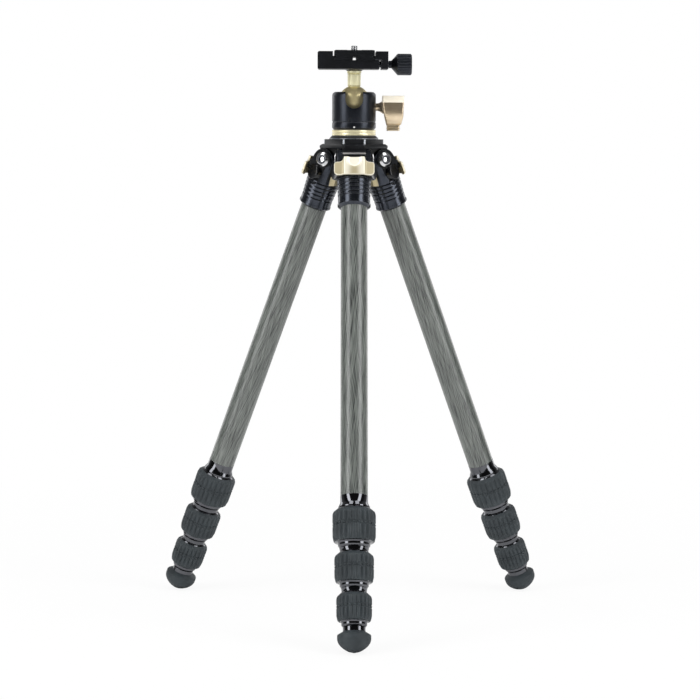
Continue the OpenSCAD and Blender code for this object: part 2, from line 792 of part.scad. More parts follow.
module clamp_body() {
    right = clamp_right - clamp_jaw_w - jaw_gap;
    left = -clamp_left;
    floor_z = plate_z - face_gap;
    color(black) from_pivots() difference() {
        union() {
            front_to_back(clamp_len) polygon(concat(
                [[left + bevel, clamp_z], [right, clamp_z], [right, floor_z],
                 [-plate_w / 2 - channel_gap, floor_z]],
                lip(-1),
                [[left + bevel, clamp_top], [left, clamp_top - bevel], [left, clamp_z + bevel]]
            ));
            translate([0, 0, clamp_z - boss_h]) rotate_extrude() polygon([
                [0, 0], [boss_low_r, 0], [boss_r, boss_h], [boss_r, boss_h + cut],
                [0, boss_h + cut]
            ]);
        }
        translate([0, 0, clamp_z + knob_axis_up]) rotate([0, 90, 0])
            cylinder(r = spindle_r + run_gap, h = clamp_right);
        translate([-(clamp_left + lip_x()) / 2, 0, clamp_top - level_deep])
            cylinder(r = level_r + run_gap, h = level_deep + cut);
    }
}

module bubble_level() {
    color(glass) from_pivots()
        translate([-(clamp_left + lip_x()) / 2, 0, clamp_top - level_deep])
            cylinder(r = level_r, h = level_deep);
}

module clamp_jaw() {
    left = clamp_right - clamp_jaw_w;
    color(black) from_pivots() difference() {
        front_to_back(clamp_len) polygon(concat(
            [[left, clamp_z], [clamp_right, clamp_z], [clamp_right, clamp_top]],
            reversed(lip(1)),
            [[left, plate_z + dovetail_flat]]
        ));
        translate([0, 0, clamp_z + knob_axis_up]) rotate([0, 90, 0])
            cylinder(r = spindle_r + run_gap, h = clamp_right + cut);
    }
}

module clamp_knob() {
    r = clamp_knob_d / 2;
    rim = knob_neck_gap + knob_neck_len;
    spindle_in = clamp_right - clamp_left / 2;
    color(black) from_pivots() translate([clamp_right, 0, clamp_z + knob_axis_up])
        rotate([0, 90, 0]) difference() {
            union() {
                translate([0, 0, -spindle_in]) cylinder(r = spindle_r, h = spindle_in + rim);
                rotate_extrude() polygon([
                    [0, knob_neck_gap], [knob_neck_r, knob_neck_gap],
                    [knob_neck_r, knob_neck_gap + knob_neck_len / 3],
                    [r * 2 / 3, knob_neck_gap + knob_neck_len * 3 / 4], [r - bevel, rim],
                    [r, rim + bevel], [r, rim + clamp_knob_len - bevel],
                    [r - bevel, rim + clamp_knob_len], [0, rim + clamp_knob_len]
                ]);
            }
            for (i = [0 : grip_cuts - 1]) rotate([0, 0, i * 360 / grip_cuts])
                translate([r + grip_cut_r / 2, 0, rim])
                    cylinder(r = grip_cut_r, h = clamp_knob_len + cut);
        }
}

module camera_plate() {
    r = plate_w / 2;
    side = concat([[r, plate_z]], dovetail(0), [
        [r, waist_z], [r, seat_z - bevel / 2], [r - bevel / 2, seat_z]
    ]);
    color(black) from_pivots() difference() {
        front_to_back(plate_len)
            polygon(concat(side, [for (p = reversed(side)) [-p[0], p[1]]]));
        translate([0, 0, plate_z - cut]) {
            cylinder(r = screw_d / 2 + run_gap, h = plate_h + 2 * cut);
            cylinder(r = head_r + run_gap, h = head_h + seat_gap + cut);
        }
        translate([-coin_w / 2, -plate_len, plate_z - cut])
            cube([coin_w, 2 * plate_len, coin_deep + seat_gap + cut]);
    }
}

module camera_screw() {
    color(silver) from_pivots() difference() {
        union() {
            translate([0, 0, plate_z + seat_gap]) cylinder(r = head_r, h = head_h - face_gap);
            translate([0, 0, plate_z + seat_gap])
                cylinder(r = screw_neck_r, h = plate_h - seat_gap + cut);
            translate([0, 0, seat_z]) cylinder(r = screw_d / 2, h = screw_up - screw_tip);
            translate([0, 0, seat_z + screw_up - screw_tip])
                cylinder(r1 = screw_d / 2, r2 = screw_d / 2 - screw_tip, h = screw_tip);
        }
        translate([-coin_w / 2, -head_r - cut, plate_z])
            cube([coin_w, 2 * (head_r + cut), coin_deep + seat_gap]);
    }
}

// Lock knobs

module main_lever() {
    screw_in = (housing_d - ball_d) / 2 - mouth_play;
    slope = (lever_w - lever_tip_w) / 2;
    thin = asin((lever_r - lever_tip_r) / (lever_reach - lever_tip_r));
    color(gold) from_pivots() translate([housing_d / 2, 0, lever_z]) {
        intersection() {
            front_to_back(4 * lever_r) polygon([
                [lever_gap, lever_r], [lever_gap + lever_w, lever_r],
                [lever_gap + lever_w - lever_step, -lever_waist],
                [lever_gap + slope + lever_tip_w + lever_step, -lever_neck],
                [lever_gap + slope + lever_tip_w, -lever_neck],
                [lever_gap + slope + lever_tip_w, -lever_reach],
                [lever_gap + slope, -lever_reach], [lever_gap + slope, -lever_neck],
                [lever_gap, -lever_waist]
            ]);
            rotate([90, 0, 90]) linear_extrude(height = lever_gap + lever_w) difference() {
                union() {
                    low = [0, -lever_reach + lever_tip_r];
                    circle(r = lever_r);
                    translate(low) circle(r = lever_tip_r);
                    polygon([for (side = [-1, 1], p = [0, 1])
                        let (r = (side > 0) == (p == 0) ? lever_r : lever_tip_r,
                             o = (side > 0) == (p == 0) ? [0, 0] : low)
                        [o[0] + side * r * cos(thin), o[1] - r * sin(thin)]]);
                }
                for (i = [0 : lever_ribs - 1], side = [0, 1]) {
                    down = lever_neck + (i + 1 / 2) * lever_rib_pitch;
                    mirror([side, 0])
                        translate([(lever_r - down * sin(thin)) / cos(thin) - lever_rib_deep,
                            -down - lever_rib_pitch / 4])
                            square([lever_r, lever_rib_pitch / 2]);
                }
            }
        }
        rotate([0, 90, 0]) {
            translate([0, 0, -screw_in])
                cylinder(r = lever_shaft_r, h = screw_in + lever_gap + slope);
            translate([0, 0, lever_gap / 3])
                cylinder(r1 = lever_shaft_r, r2 = lever_r * 3 / 4, h = lever_gap * 2 / 3 + slope);
        }
    }
}

module pan_knob() {
    screw_in = housing_d / 2 - stud_r - mouth_play;
    color(black) from_pivots() translate([0, housing_d / 2, housing_z + split_z / 2])
        rotate([-90, 0, 0]) {
            translate([0, 0, -screw_in]) cylinder(r = pan_neck_r, h = screw_in + pan_neck_len);
            translate([0, 0, pan_neck_len]) cylinder(r = pan_knob_d / 2, h = pan_knob_len);
        }
}

hub();
pivot_bolts();
stop_pins();
column_lock();
centre_column();
platform();
pan_base();
ball_housing();
main_lever();
pan_knob();
ball();
ball_stem();
clamp_body();
bubble_level();
clamp_jaw();
clamp_knob();
camera_plate();
camera_screw();
for (leg = LEGS) {
    leg_root(leg);
    angle_latch(leg);
    ferrule(leg);
    foot(leg);
    for (k = [0 : 3]) tube(leg, k);
    for (k = [0 : 2]) collar(leg, k);
    for (k = [0 : 2]) grip(leg, k);
}
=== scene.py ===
"""Camera tripod with a ball head, legs spread at the first stop and every section pushed home."""

import json
import math

import bmesh
import bpy
from mathutils import Matrix, Vector

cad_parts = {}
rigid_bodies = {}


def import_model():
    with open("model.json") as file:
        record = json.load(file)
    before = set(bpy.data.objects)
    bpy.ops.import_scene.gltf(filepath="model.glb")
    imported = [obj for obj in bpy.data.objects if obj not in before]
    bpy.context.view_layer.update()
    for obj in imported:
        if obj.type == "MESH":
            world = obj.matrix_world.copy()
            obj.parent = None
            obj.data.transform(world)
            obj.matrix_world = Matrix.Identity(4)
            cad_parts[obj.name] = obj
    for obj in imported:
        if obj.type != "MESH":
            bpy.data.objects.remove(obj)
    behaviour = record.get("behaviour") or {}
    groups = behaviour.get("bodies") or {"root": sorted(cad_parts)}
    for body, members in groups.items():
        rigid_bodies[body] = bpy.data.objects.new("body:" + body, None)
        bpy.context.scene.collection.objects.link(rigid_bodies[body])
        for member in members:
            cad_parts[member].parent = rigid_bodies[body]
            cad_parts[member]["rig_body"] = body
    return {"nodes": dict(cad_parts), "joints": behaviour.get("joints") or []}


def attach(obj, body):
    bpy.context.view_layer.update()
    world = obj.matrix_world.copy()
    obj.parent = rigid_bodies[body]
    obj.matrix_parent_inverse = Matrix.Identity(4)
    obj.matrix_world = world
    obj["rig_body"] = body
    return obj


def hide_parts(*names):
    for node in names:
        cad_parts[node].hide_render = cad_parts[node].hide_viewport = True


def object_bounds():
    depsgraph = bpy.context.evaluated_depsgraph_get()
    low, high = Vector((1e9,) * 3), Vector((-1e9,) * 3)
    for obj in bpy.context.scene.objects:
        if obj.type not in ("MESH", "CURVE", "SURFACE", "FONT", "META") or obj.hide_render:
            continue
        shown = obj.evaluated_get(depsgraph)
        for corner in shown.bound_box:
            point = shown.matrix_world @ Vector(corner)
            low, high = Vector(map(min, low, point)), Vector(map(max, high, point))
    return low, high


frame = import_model()
cad_low, cad_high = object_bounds()


# Camera
# The photograph was taken from the front with a long lens, from just above the middle of the
# tripod, looking a little down.
CAMERA_PLACE = (-0.0296, -2.335, -0.0658)  # m from the foot of the camera screw
CAMERA_YAW = 0.66  # degrees, as the pitch and the roll
CAMERA_PITCH = 5.41
CAMERA_ROLL = 0.28
SENSOR = 36  # mm
LENS = 124.9  # mm

camera_data = bpy.data.cameras.new("camera")
camera_data.sensor_width = SENSOR
camera_data.lens = LENS
camera = bpy.data.objects.new("camera", camera_data)
bpy.context.scene.collection.objects.link(camera)
camera.matrix_world = (
    Matrix.Translation(CAMERA_PLACE)
    @ Matrix.Rotation(math.radians(-CAMERA_YAW), 4, "Z")
    @ Matrix.Rotation(math.radians(90 - CAMERA_PITCH), 4, "X")
    @ Matrix.Rotation(math.radians(CAMERA_ROLL), 4, "Z")
)
bpy.context.scene.camera = camera
bpy.context.scene.view_settings.view_transform = "Standard"


# Studio
# A white table in a dark room, with two tall soft boxes at the front sides that draw the pairs
# of soft vertical bands on the round parts, two overhead and two weak ones behind.
ROOM_LIGHT = 0.42
ROOM_SHINE_FRONT = 0.03
ROOM_SHINE_BACK = 0.45
ROOM_TURN = (0.1, 0.95)  # between which shares of the way to the back the shine grows
FLOOR_WHITE = 0.93
FLOOR_HALF = 1.3  # m
FLOOR_SHADOW = 0.9  # share of pure white that the camera sees close round the feet
FLOOR_CLEAR_FROM = 0.3  # m from the middle
FLOOR_CLEAR_TO = 0.9  # m, past which the floor is as white as the backdrop
SOFT_BOXES = (  # name, place and size in m, glow beside a white of 1
    ("soft_box_left", (-1.68, -1.08, 0.5), (0.8, 2.6), 4.0),
    ("soft_box_right", (1.68, -1.08, 0.5), (0.8, 2.6), 4.0),
    ("soft_box_top_left", (-0.7, -0.35, 1.5), (0.75, 1.0), 2.6),
    ("soft_box_top_right", (0.7, -0.35, 1.5), (0.75, 1.0), 2.6),
    ("soft_box_back_left", (-1.3, 1.6, 0.1), (0.5, 1.6), 2.0),
    ("soft_box_back_right", (1.3, 1.6, 0.1), (0.5, 1.6), 2.0),
)


def add(tree, kind, inputs=(), **settings):
    """A node with its settings, and its inputs as values or as links from other sockets."""
    node = tree.nodes.new(kind)
    for name, value in settings.items():
        setattr(node, name, value)
    for socket, value in dict(inputs).items():
        if isinstance(value, bpy.types.NodeSocket):
            tree.links.new(value, node.inputs[socket])
        else:
            node.inputs[socket].default_value = value
    return node


middle = Vector((0, 0, (cad_low.z + cad_high.z) / 2))
for name, place, size, glow in SOFT_BOXES:
    lamp_data = bpy.data.lights.new(name, "AREA")
    lamp_data.shape = "RECTANGLE"
    lamp_data.size, lamp_data.size_y = size
    lamp_data.energy = glow * math.pi * size[0] * size[1]
    lamp = bpy.data.objects.new(name, lamp_data)
    bpy.context.scene.collection.objects.link(lamp)
    lamp.location = place
    lamp.rotation_euler = (middle - Vector(place)).to_track_quat("-Z", "Y").to_euler()
    lamp.visible_camera = False

world = bpy.data.worlds.new("studio")
bpy.context.scene.world = world
world.use_nodes = True
sky = world.node_tree
sky.nodes.clear()
rays = add(sky, "ShaderNodeLightPath")
way = add(sky, "ShaderNodeTexCoord").outputs["Generated"]
facing = add(sky, "ShaderNodeSeparateXYZ", {0: way})
shine = add(
    sky,
    "ShaderNodeMapRange",
    {"Value": facing.outputs["Y"], "From Min": ROOM_TURN[0], "From Max": ROOM_TURN[1],
     "To Min": ROOM_SHINE_FRONT, "To Max": ROOM_SHINE_BACK},
)
seen = add(
    sky,
    "ShaderNodeMath",
    {0: rays.outputs["Is Camera Ray"], 1: rays.outputs["Is Transmission Ray"]},
    operation="MAXIMUM",
)
strength = add(
    sky,
    "ShaderNodeMix",
    {0: rays.outputs["Is Glossy Ray"], 2: ROOM_LIGHT, 3: shine.outputs[0]},
)
strength = add(sky, "ShaderNodeMix", {0: seen.outputs[0], 2: strength.outputs[0], 3: 1.0})
sweep = add(sky, "ShaderNodeBackground", {"Strength": strength.outputs[0], "Color": (1, 1, 1, 1)})
add(sky, "ShaderNodeOutputWorld", {"Surface": sweep.outputs[0]})

floor_mesh = bpy.data.meshes.new("floor")
floor_build = bmesh.new()
bmesh.ops.create_grid(floor_build, x_segments=1, y_segments=1, size=FLOOR_HALF)
bmesh.ops.translate(floor_build, verts=floor_build.verts, vec=(0, 0, cad_low.z))
floor_build.to_mesh(floor_mesh)
floor_build.free()
floor = bpy.data.objects.new("floor", floor_mesh)
bpy.context.scene.collection.objects.link(floor)

# Painted board, an even white that takes the soft shadow of the feet and fades into the backdrop
table = bpy.data.materials.new("white painted board")
table.use_nodes = True
tree = table.node_tree
tree.nodes.clear()
rays = add(tree, "ShaderNodeLightPath")
spot = add(tree, "ShaderNodeTexCoord").outputs["Object"]
flat = add(tree, "ShaderNodeVectorMath", {0: spot, 1: (1, 1, 0)}, operation="MULTIPLY")
reach = add(tree, "ShaderNodeVectorMath", {0: flat.outputs[0]}, operation="LENGTH")
clear = add(
    tree,
    "ShaderNodeMapRange",
    {"Value": reach.outputs["Value"], "From Min": FLOOR_CLEAR_FROM, "From Max": FLOOR_CLEAR_TO,
     "To Min": FLOOR_SHADOW, "To Max": 1.0},
)
unlit = add(
    tree,
    "ShaderNodeMath",
    {0: rays.outputs["Is Camera Ray"], 1: clear.outputs[0]},
    operation="MULTIPLY",
)
lit = add(tree, "ShaderNodeBsdfDiffuse", {"Color": (FLOOR_WHITE, FLOOR_WHITE, FLOOR_WHITE, 1)})
glow = add(tree, "ShaderNodeEmission", {"Strength": 1.0})
both = add(
    tree, "ShaderNodeMixShader", {0: unlit.outputs[0], 1: lit.outputs[0], 2: glow.outputs[0]}
)
add(tree, "ShaderNodeOutputMaterial", {"Surface": both.outputs[0]})
floor_mesh.materials.append(table)


# Hub and its plates
# Machined from aluminium bar, bead blasted and dyed black. Two stepped plates with chamfered
# edges carry three tongues on which the legs swing, and a guide for the centre column.
MM = 0.001  # m
BLACK = "#0c0e11"
BLACK_DUSTY = "#121418"
# Light grey painted on the broken edges of the black parts, a painted highlight
BLACK_EDGE_HIGHLIGHT = "#5c5f67"
COOL_SHINE = "#d8e1f5"  # tint of the shine on the dyed film
BLAST_GRAIN = 0.5  # mm, real blasting is about 0.1 and would not show
BLAST_DEPTH = 0.018  # mm
CLOUD = 14  # mm, slow change of the satin where hands and jigs have been
NOISE_SPAN = {"From Min": 0.35, "From Max": 0.65}  # where most values of a noise lie
EDGE_BREAK = 0.35  # mm, width of the broken edges
CORNER = 28  # degrees, from which two faces meet in an edge
WELD = 0.002  # mm
FLAT = 0.3  # degrees, under which neighbouring triangles are one flat


def linear(code):
    """sRGB hex colour as linear RGBA."""
    parts = [int(code[i : i + 2], 16) / 255 for i in (1, 3, 5)]
    return (*[p / 12.92 if p <= 0.04045 else ((p + 0.055) / 1.055) ** 2.4 for p in parts], 1)


def new_finish(name, colour, roughness, **sockets):
    """A material with its one shader, ready for a pattern."""
    material = bpy.data.materials.new(name)
    material.use_nodes = True
    shader = material.node_tree.nodes["Principled BSDF"]
    shader.inputs["Base Color"].default_value = linear(colour)
    shader.inputs["Roughness"].default_value = roughness
    for socket, value in sockets.items():
        shader.inputs[socket.replace("_", " ")].default_value = value
    return material, material.node_tree, shader


def satin(name, colours, rough, grain=BLAST_GRAIN, depth=BLAST_DEPTH, **sockets):
    """A grainy satin: two colours in slow clouds, a roughness that follows them, and fine bumps
    whose grain and depth are in mm."""
    material, tree, shader = new_finish(name, colours[0], rough[0], **sockets)
    spot = add(tree, "ShaderNodeTexCoord", name="spot").outputs["Object"]
    cloud = add(
        tree, "ShaderNodeTexNoise", {"Vector": spot, "Scale": 1 / (CLOUD * MM), "Detail": 3.0}
    ).outputs[0]
    share = add(tree, "ShaderNodeMapRange", {"Value": cloud, **NOISE_SPAN}).outputs[0]
    tones = add(
        tree,
        "ShaderNodeMix",
        {0: share, 6: linear(colours[0]), 7: linear(colours[1])},
        data_type="RGBA", name="tones",
    )
    shine = add(
        tree,
        "ShaderNodeMapRange",
        {"Value": cloud, **NOISE_SPAN, "To Min": rough[0], "To Max": rough[1]},
        name="shine",
    )
    specks = add(tree, "ShaderNodeTexNoise", {"Vector": spot, "Scale": 1 / (grain * MM)})
    bumps = add(
        tree, "ShaderNodeBump", {"Height": specks.outputs[0], "Distance": depth * MM}, name="bumps"
    )
    tree.links.new(tones.outputs[2], shader.inputs["Base Color"])
    tree.links.new(shine.outputs[0], shader.inputs["Roughness"])
    tree.links.new(bumps.outputs[0], shader.inputs["Normal"])
    return material


# What shows on dyed aluminium is its clear oxide film over a black ground, so it shines as a film
# does and not as bare metal. Fine blasting spreads each soft box into a wide grey band and
# coarse blasting leaves hardly any shine. Along the edges a light grey is painted in, a painted
# highlight, and the high IOR adds to their shine.
black_satin = satin("black anodised aluminium", (BLACK, BLACK_DUSTY), (0.28, 0.35), IOR=1.55,
                    Specular_Tint=linear(COOL_SHINE))
black_coarse = satin("coarse blasted black aluminium", (BLACK, BLACK_DUSTY), (0.44, 0.52),
                     grain=0.7, depth=0.03, IOR=1.4)
black_edge_highlight = satin("black anodised edge with painted highlight", (BLACK_EDGE_HIGHLIGHT, "#43464d"), (0.24, 0.30), IOR=2.0)


def merged(node):
    """A copy of a CAD piece whose loose triangles are joined, with its flats made whole."""
    build = bmesh.new()
    build.from_mesh(frame["nodes"][node].data)
    bmesh.ops.remove_doubles(build, verts=build.verts, dist=WELD * MM)
    bmesh.ops.dissolve_limit(
        build, angle_limit=math.radians(FLAT), verts=build.verts, edges=build.edges
    )
    return build


def piece_of(name, mesh, body):
    """An object for a mesh that moves with a body."""
    piece = bpy.data.objects.new(name, mesh)
    bpy.context.scene.collection.objects.link(piece)
    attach(piece, body)
    return piece


def skin(node, finish, edge=None, width=EDGE_BREAK, corner=CORNER, other=None,
         apart=None, build=None):
    """A piece that stands for the CAD one: a copy of it or the build given, with its edges
    broken to a width in mm where the faces turn by more than the corner in degrees. Faces whose
    middle passes the test named apart take the other finish."""
    build = build or merged(node)
    for face in build.faces:
        face.smooth = True
        face.material_index = 2 if apart and apart(face.calc_center_median()) else 0
    mesh = bpy.data.meshes.new(node)
    build.to_mesh(mesh)
    build.free()
    for material in (finish, edge or finish, other or finish):
        mesh.materials.append(material)
    mesh.set_sharp_from_angle(angle=math.radians(corner))
    piece = piece_of(node + "_made", mesh, frame["nodes"][node]["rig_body"])
    if width:
        bevel = piece.modifiers.new("broken edges", "BEVEL")
        bevel.limit_method = "ANGLE"
        bevel.angle_limit = math.radians(corner)
        bevel.width = width * MM
        bevel.segments = 2
        bevel.material = 1 if edge else -1
        bevel.miter_outer = "MITER_ARC"
        bevel.harden_normals = True
    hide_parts(node)


PLATE_REACH = 27.6  # mm, how far the upper plate reaches along each arm
PLATE_HALF_WIDE = 10.8  # mm, half its width there
CORNER_CUT = 1.5  # mm
CUT_CLEAR = 0.05  # mm, keeps the faces beside the cut out
PLATES_UP = (-88.6, -84.2)  # mm, heights of the upper plate's faces
ARMS = (-90, 30, 150)  # degrees, front, right and left


def painted_highlight_corner(spot):
    """Whether a point lies on a cut corner of the upper plate, which takes a painted highlight."""
    if not PLATES_UP[0] < spot.z / MM < PLATES_UP[1]:
        return False
    for arm in ARMS:
        turn = math.radians(arm)
        along = (spot.x * math.cos(turn) + spot.y * math.sin(turn)) / MM
        across = abs(spot.y * math.cos(turn) - spot.x * math.sin(turn)) / MM
        if (PLATE_REACH - CORNER_CUT < along < PLATE_REACH - CUT_CLEAR
                and PLATE_HALF_WIDE - CORNER_CUT < across < PLATE_HALF_WIDE - CUT_CLEAR):
            return True
    return False


# The edges are painted a light grey, a painted highlight along them, and the corners cut across
# the upper plate are painted a brighter grey, a painted highlight too.
hub_edge_highlight = satin("black aluminium edge with painted highlight", ("#83868d", "#6e7178"), (0.36, 0.42), IOR=1.6)
corner_highlight = satin("painted highlight on the plate corners", ("#d3d8de", "#c3c8ce"), (0.4, 0.46), Metallic=0.2)
skin("hub", black_coarse, hub_edge_highlight, width=0.45, other=corner_highlight,
     apart=painted_highlight_corner)


# Pins across the tongues
# Round pins of stainless steel, ground to size on a lathe and pressed through the tongues of
# the hub. Each stands out a little at both sides.
TURNED_GRAIN = 0.3  # mm, coarser than real tool marks, which would not show
TURNED_DEPTH = 0.002  # mm


def turned_steel(name, colours, rough):
    """Bare turned metal with the faint marks that the tool leaves."""
    return satin(name, colours, rough, grain=TURNED_GRAIN, depth=TURNED_DEPTH, Metallic=1.0)


# Polished steel mirrors the soft boxes and the dark room, ground steel is an even pale grey
steel = turned_steel("polished stainless steel", ("#e4e4e5", "#cdced0"), (0.20, 0.25))
pin_steel = turned_steel("ground stainless steel", ("#eeeaea", "#dcd8d8"), (0.42, 0.50))
skin("stop_pins", pin_steel, width=0.2)


# Column lock
# A cast and blasted champagne ring with three lobes that stand out between the legs. Turning
# it a few degrees clamps the centre column.
CHAMPAGNE = ("#dccfab", "#d2c49c")
CHAMPAGNE_EDGE = ("#f1e9cf", "#e9dfc0")

# A thin pale film over blasted metal: matt, so that it shows its colour from any side, with a
# brighter shine along the edges.
gold_satin = satin("champagne anodised aluminium", CHAMPAGNE, (0.40, 0.48), Metallic=0.5)
gold_edge = satin("champagne anodised edge", CHAMPAGNE_EDGE, (0.28, 0.34), Metallic=0.8)
skin("column_lock", gold_satin, gold_edge, width=0.5)


# Centre column
# A drawn aluminium tube, dyed black, with the stud that the head screws on to at its top and
# a bent wire hook for a ballast weight at its foot.
skin("centre_column", black_satin, black_edge_highlight, width=0.3)


# Platform
# A turned disc of black aluminium with a coned edge, blasted and dyed, and screwed down on the
# column under the head.
skin("platform", black_coarse, black_edge_highlight)


# Panning base
# The ring that the head turns on, turned from aluminium with two beads, then dyed a pale gold
# and screwed on to the platform.
RING_GOLD = ("#f6eec6", "#eee3b4")

# Smoother and paler than the blasted gold, it shows as two light lines with a soft shine
gold_ring = satin("champagne turned ring", RING_GOLD, (0.38, 0.44), Metallic=0.4)
skin("pan_base", gold_ring, gold_edge, width=0.25)


# Ball housing
# Bored from black aluminium bar. Its mouth has a broken edge painted light grey as a highlight, and
# one drop notch, and a raised tab of the split line stands over a painted dot at the front.
MOUTH_WIDE = 0.45  # mm, broken edge
SPLIT_UP = -67.7  # mm, height of the split line
HOUSING_R = 20.9  # mm
TAB_HALF = 5.3  # mm
TAB_RISE = 4.4  # mm
TAB_ROUND = 2.6  # mm, corner radius
TAB_STEPS = 8  # points round each corner
LINE_R = 0.28  # mm
LINE_SUNK = 0.6  # share of its radius
DOT_R = 0.75  # mm
DOT_UP = -72.7  # mm


def on_housing(across, up, out=0.0):
    """A point of the housing's front, from its arc length across and its height, in mm."""
    turn = across / HOUSING_R
    return Vector((
        math.sin(turn) * (HOUSING_R + out), -math.cos(turn) * (HOUSING_R + out), up)) * MM


def swept(name, points, radius, finish):
    """A thin bead along points, as a plain mesh."""
    curve = bpy.data.curves.new(name, "CURVE")
    curve.dimensions = "3D"
    curve.bevel_depth = radius * MM
    curve.bevel_resolution = 3
    curve.use_fill_caps = True
    spline = curve.splines.new("POLY")
    spline.points.add(len(points) - 1)
    for point, place in zip(spline.points, points):
        point.co = (*place, 1)
    bead = bpy.data.objects.new(name, curve)
    bpy.context.scene.collection.objects.link(bead)
    mesh = bpy.data.meshes.new_from_object(bead)
    bpy.data.objects.remove(bead)
    mesh.materials.clear()
    mesh.materials.append(finish)
    for polygon in mesh.polygons:
        polygon.use_smooth = True
    return mesh


def turned(profile, rounds=64, cuts=None, ring=False):
    """A closed shape turned about Z from points [radius, height] in mm. They start and end on
    Z, or run round the wall of a ring. The function named cuts gives how much less the radius
    is, by the point's number and the turn from 0 to 1."""
    build = bmesh.new()
    rows = []
    for number, (radius, height) in enumerate(profile):
        row = []
        for i in range(rounds if radius else 1):
            turn = i * math.tau / rounds
            far = (radius - (cuts(number, i / rounds) if cuts else 0)) * MM
            row.append(build.verts.new((math.cos(turn) * far, math.sin(turn) * far, height * MM)))
        rows.append(row)
    for low, high in zip(rows, rows[1:] + rows[:1] if ring else rows[1:]):
        for i in range(rounds):
            j = (i + 1) % rounds
            lower = [low[i % len(low)], low[j % len(low)]]
            upper = [high[j % len(high)], high[i % len(high)]]
            build.faces.new(list(dict.fromkeys(lower + upper)))
    bmesh.ops.recalc_face_normals(build, faces=build.faces)
    return build


def solid_mesh(name, build, finish, corner=CORNER):
    """A finished mesh from a build, smooth but for its corners."""
    mesh = bpy.data.meshes.new(name)
    for face in build.faces:
        face.smooth = True
    build.to_mesh(mesh)
    build.free()
    mesh.materials.append(finish)
    mesh.set_sharp_from_angle(angle=math.radians(corner))
    return mesh


skin("ball_housing", black_satin, black_edge_highlight, width=MOUTH_WIDE)

tab = [(-TAB_HALF, 0)]
for side, first in ((-1, 180), (1, 90)):
    for step in range(TAB_STEPS + 1):
        turn = math.radians(first - step * 90 / TAB_STEPS)
        tab.append((
            side * (TAB_HALF - TAB_ROUND) + TAB_ROUND * math.cos(turn),
            TAB_RISE - TAB_ROUND + TAB_ROUND * math.sin(turn)))
tab.append((TAB_HALF, 0))
tab_line = [on_housing(across, SPLIT_UP + up, -LINE_R * LINE_SUNK) for across, up in tab]

# A near-black bead along the split line, painted shade of the groove, with a thread of shine
groove_shade = satin("painted shade of a groove", ("#050506", "#08080a"), (0.25, 0.4))
line = swept("housing_tab_line", tab_line, LINE_R, groove_shade)
piece_of("housing_tab_line", line, "housing")

# Enamel dropped into a drilled dimple, a small bright white spot
white_paint = satin("white enamel", ("#f4f4f2", "#e4e4e0"), (0.4, 0.5))
dot = turned([(0, -0.4), (DOT_R, -0.4), (DOT_R, 0.05), (DOT_R * 0.8, 0.12), (0, 0.15)], 24)
dot.transform(
    Matrix.Translation(on_housing(0, DOT_UP)) @ Matrix.Rotation(math.radians(90), 4, "X"))
piece_of("housing_index_dot", solid_mesh("housing_index_dot", dot, white_paint), "housing")


# Main lever
# A forged lever, blasted and dyed champagne, tapering to a ribbed tip. Its cone runs into the
# housing and its screw presses on the seat of the ball.
LEVER_UP = -53.4  # mm, height of its axis
LEVER_CORNER = 1.5  # mm
LEVER_CROWN = (10.9, 26.9, 48.1, 3.9)  # mm: height over the axis, left, right, half depth
LEVER_BROW = (4.4, 26.9, 47.5, 10.7)
LEVER_HIP = (-8.9, 29.0, 47.1)
LEVER_NECK = (-16.8, 30.9, 45.0)
LEVER_DRAW = 6.2  # mm that the faces draw in from the brow down to the neck
LEVER_STEPS = 12  # levels from the brow to the neck
LEVER_TIP = (31.0, 44.0, 4.3)  # mm: left, right, half depth
LEVER_END = -22.6  # mm
RIBS = 3
RIB_PITCH = 1.6  # mm
RIB_DEEP = 0.55  # mm
RIB_SHAPE = ((0.45, 0), (0.6, 1), (1.0, 1), (1.15, 0))  # shares of the pitch and of the depth
LEVER_WEB = (  # mm: radius, distance from the column
    (0, 15.6), (3.6, 15.6), (3.6, 22.2), (3.8, 23.4), (4.4, 24.8), (5.4, 26.3), (6.4, 27.6),
    (6.6, 29.5), (0, 29.5))


def lofted(levels, corner, steps=5):
    """A closed shape through level outlines [height, left, right, half depth], in mm."""
    build = bmesh.new()
    rings = []
    for height, left, right, half in levels:
        ring = []
        for x, y, first in (
            (right - corner, half - corner, 0), (left + corner, half - corner, 90),
            (left + corner, corner - half, 180), (right - corner, corner - half, 270),
        ):
            for step in range(steps + 1):
                turn = math.radians(first + step * 90 / steps)
                place = (x + math.cos(turn) * corner, y + math.sin(turn) * corner, height)
                ring.append(build.verts.new(Vector(place) * MM))
        rings.append(ring)
    for high, low in zip(rings, rings[1:]):
        for i in range(len(high)):
            j = (i + 1) % len(high)
            build.faces.new((low[i], low[j], high[j], high[i]))
    build.faces.new(rings[0])
    build.faces.new(rings[-1][::-1])
    return build


def joined(build, other):
    """Another build, added to the first one."""
    carrier = bpy.data.meshes.new("carrier")
    other.to_mesh(carrier)
    other.free()
    build.from_mesh(carrier)
    bpy.data.meshes.remove(carrier)
    return build


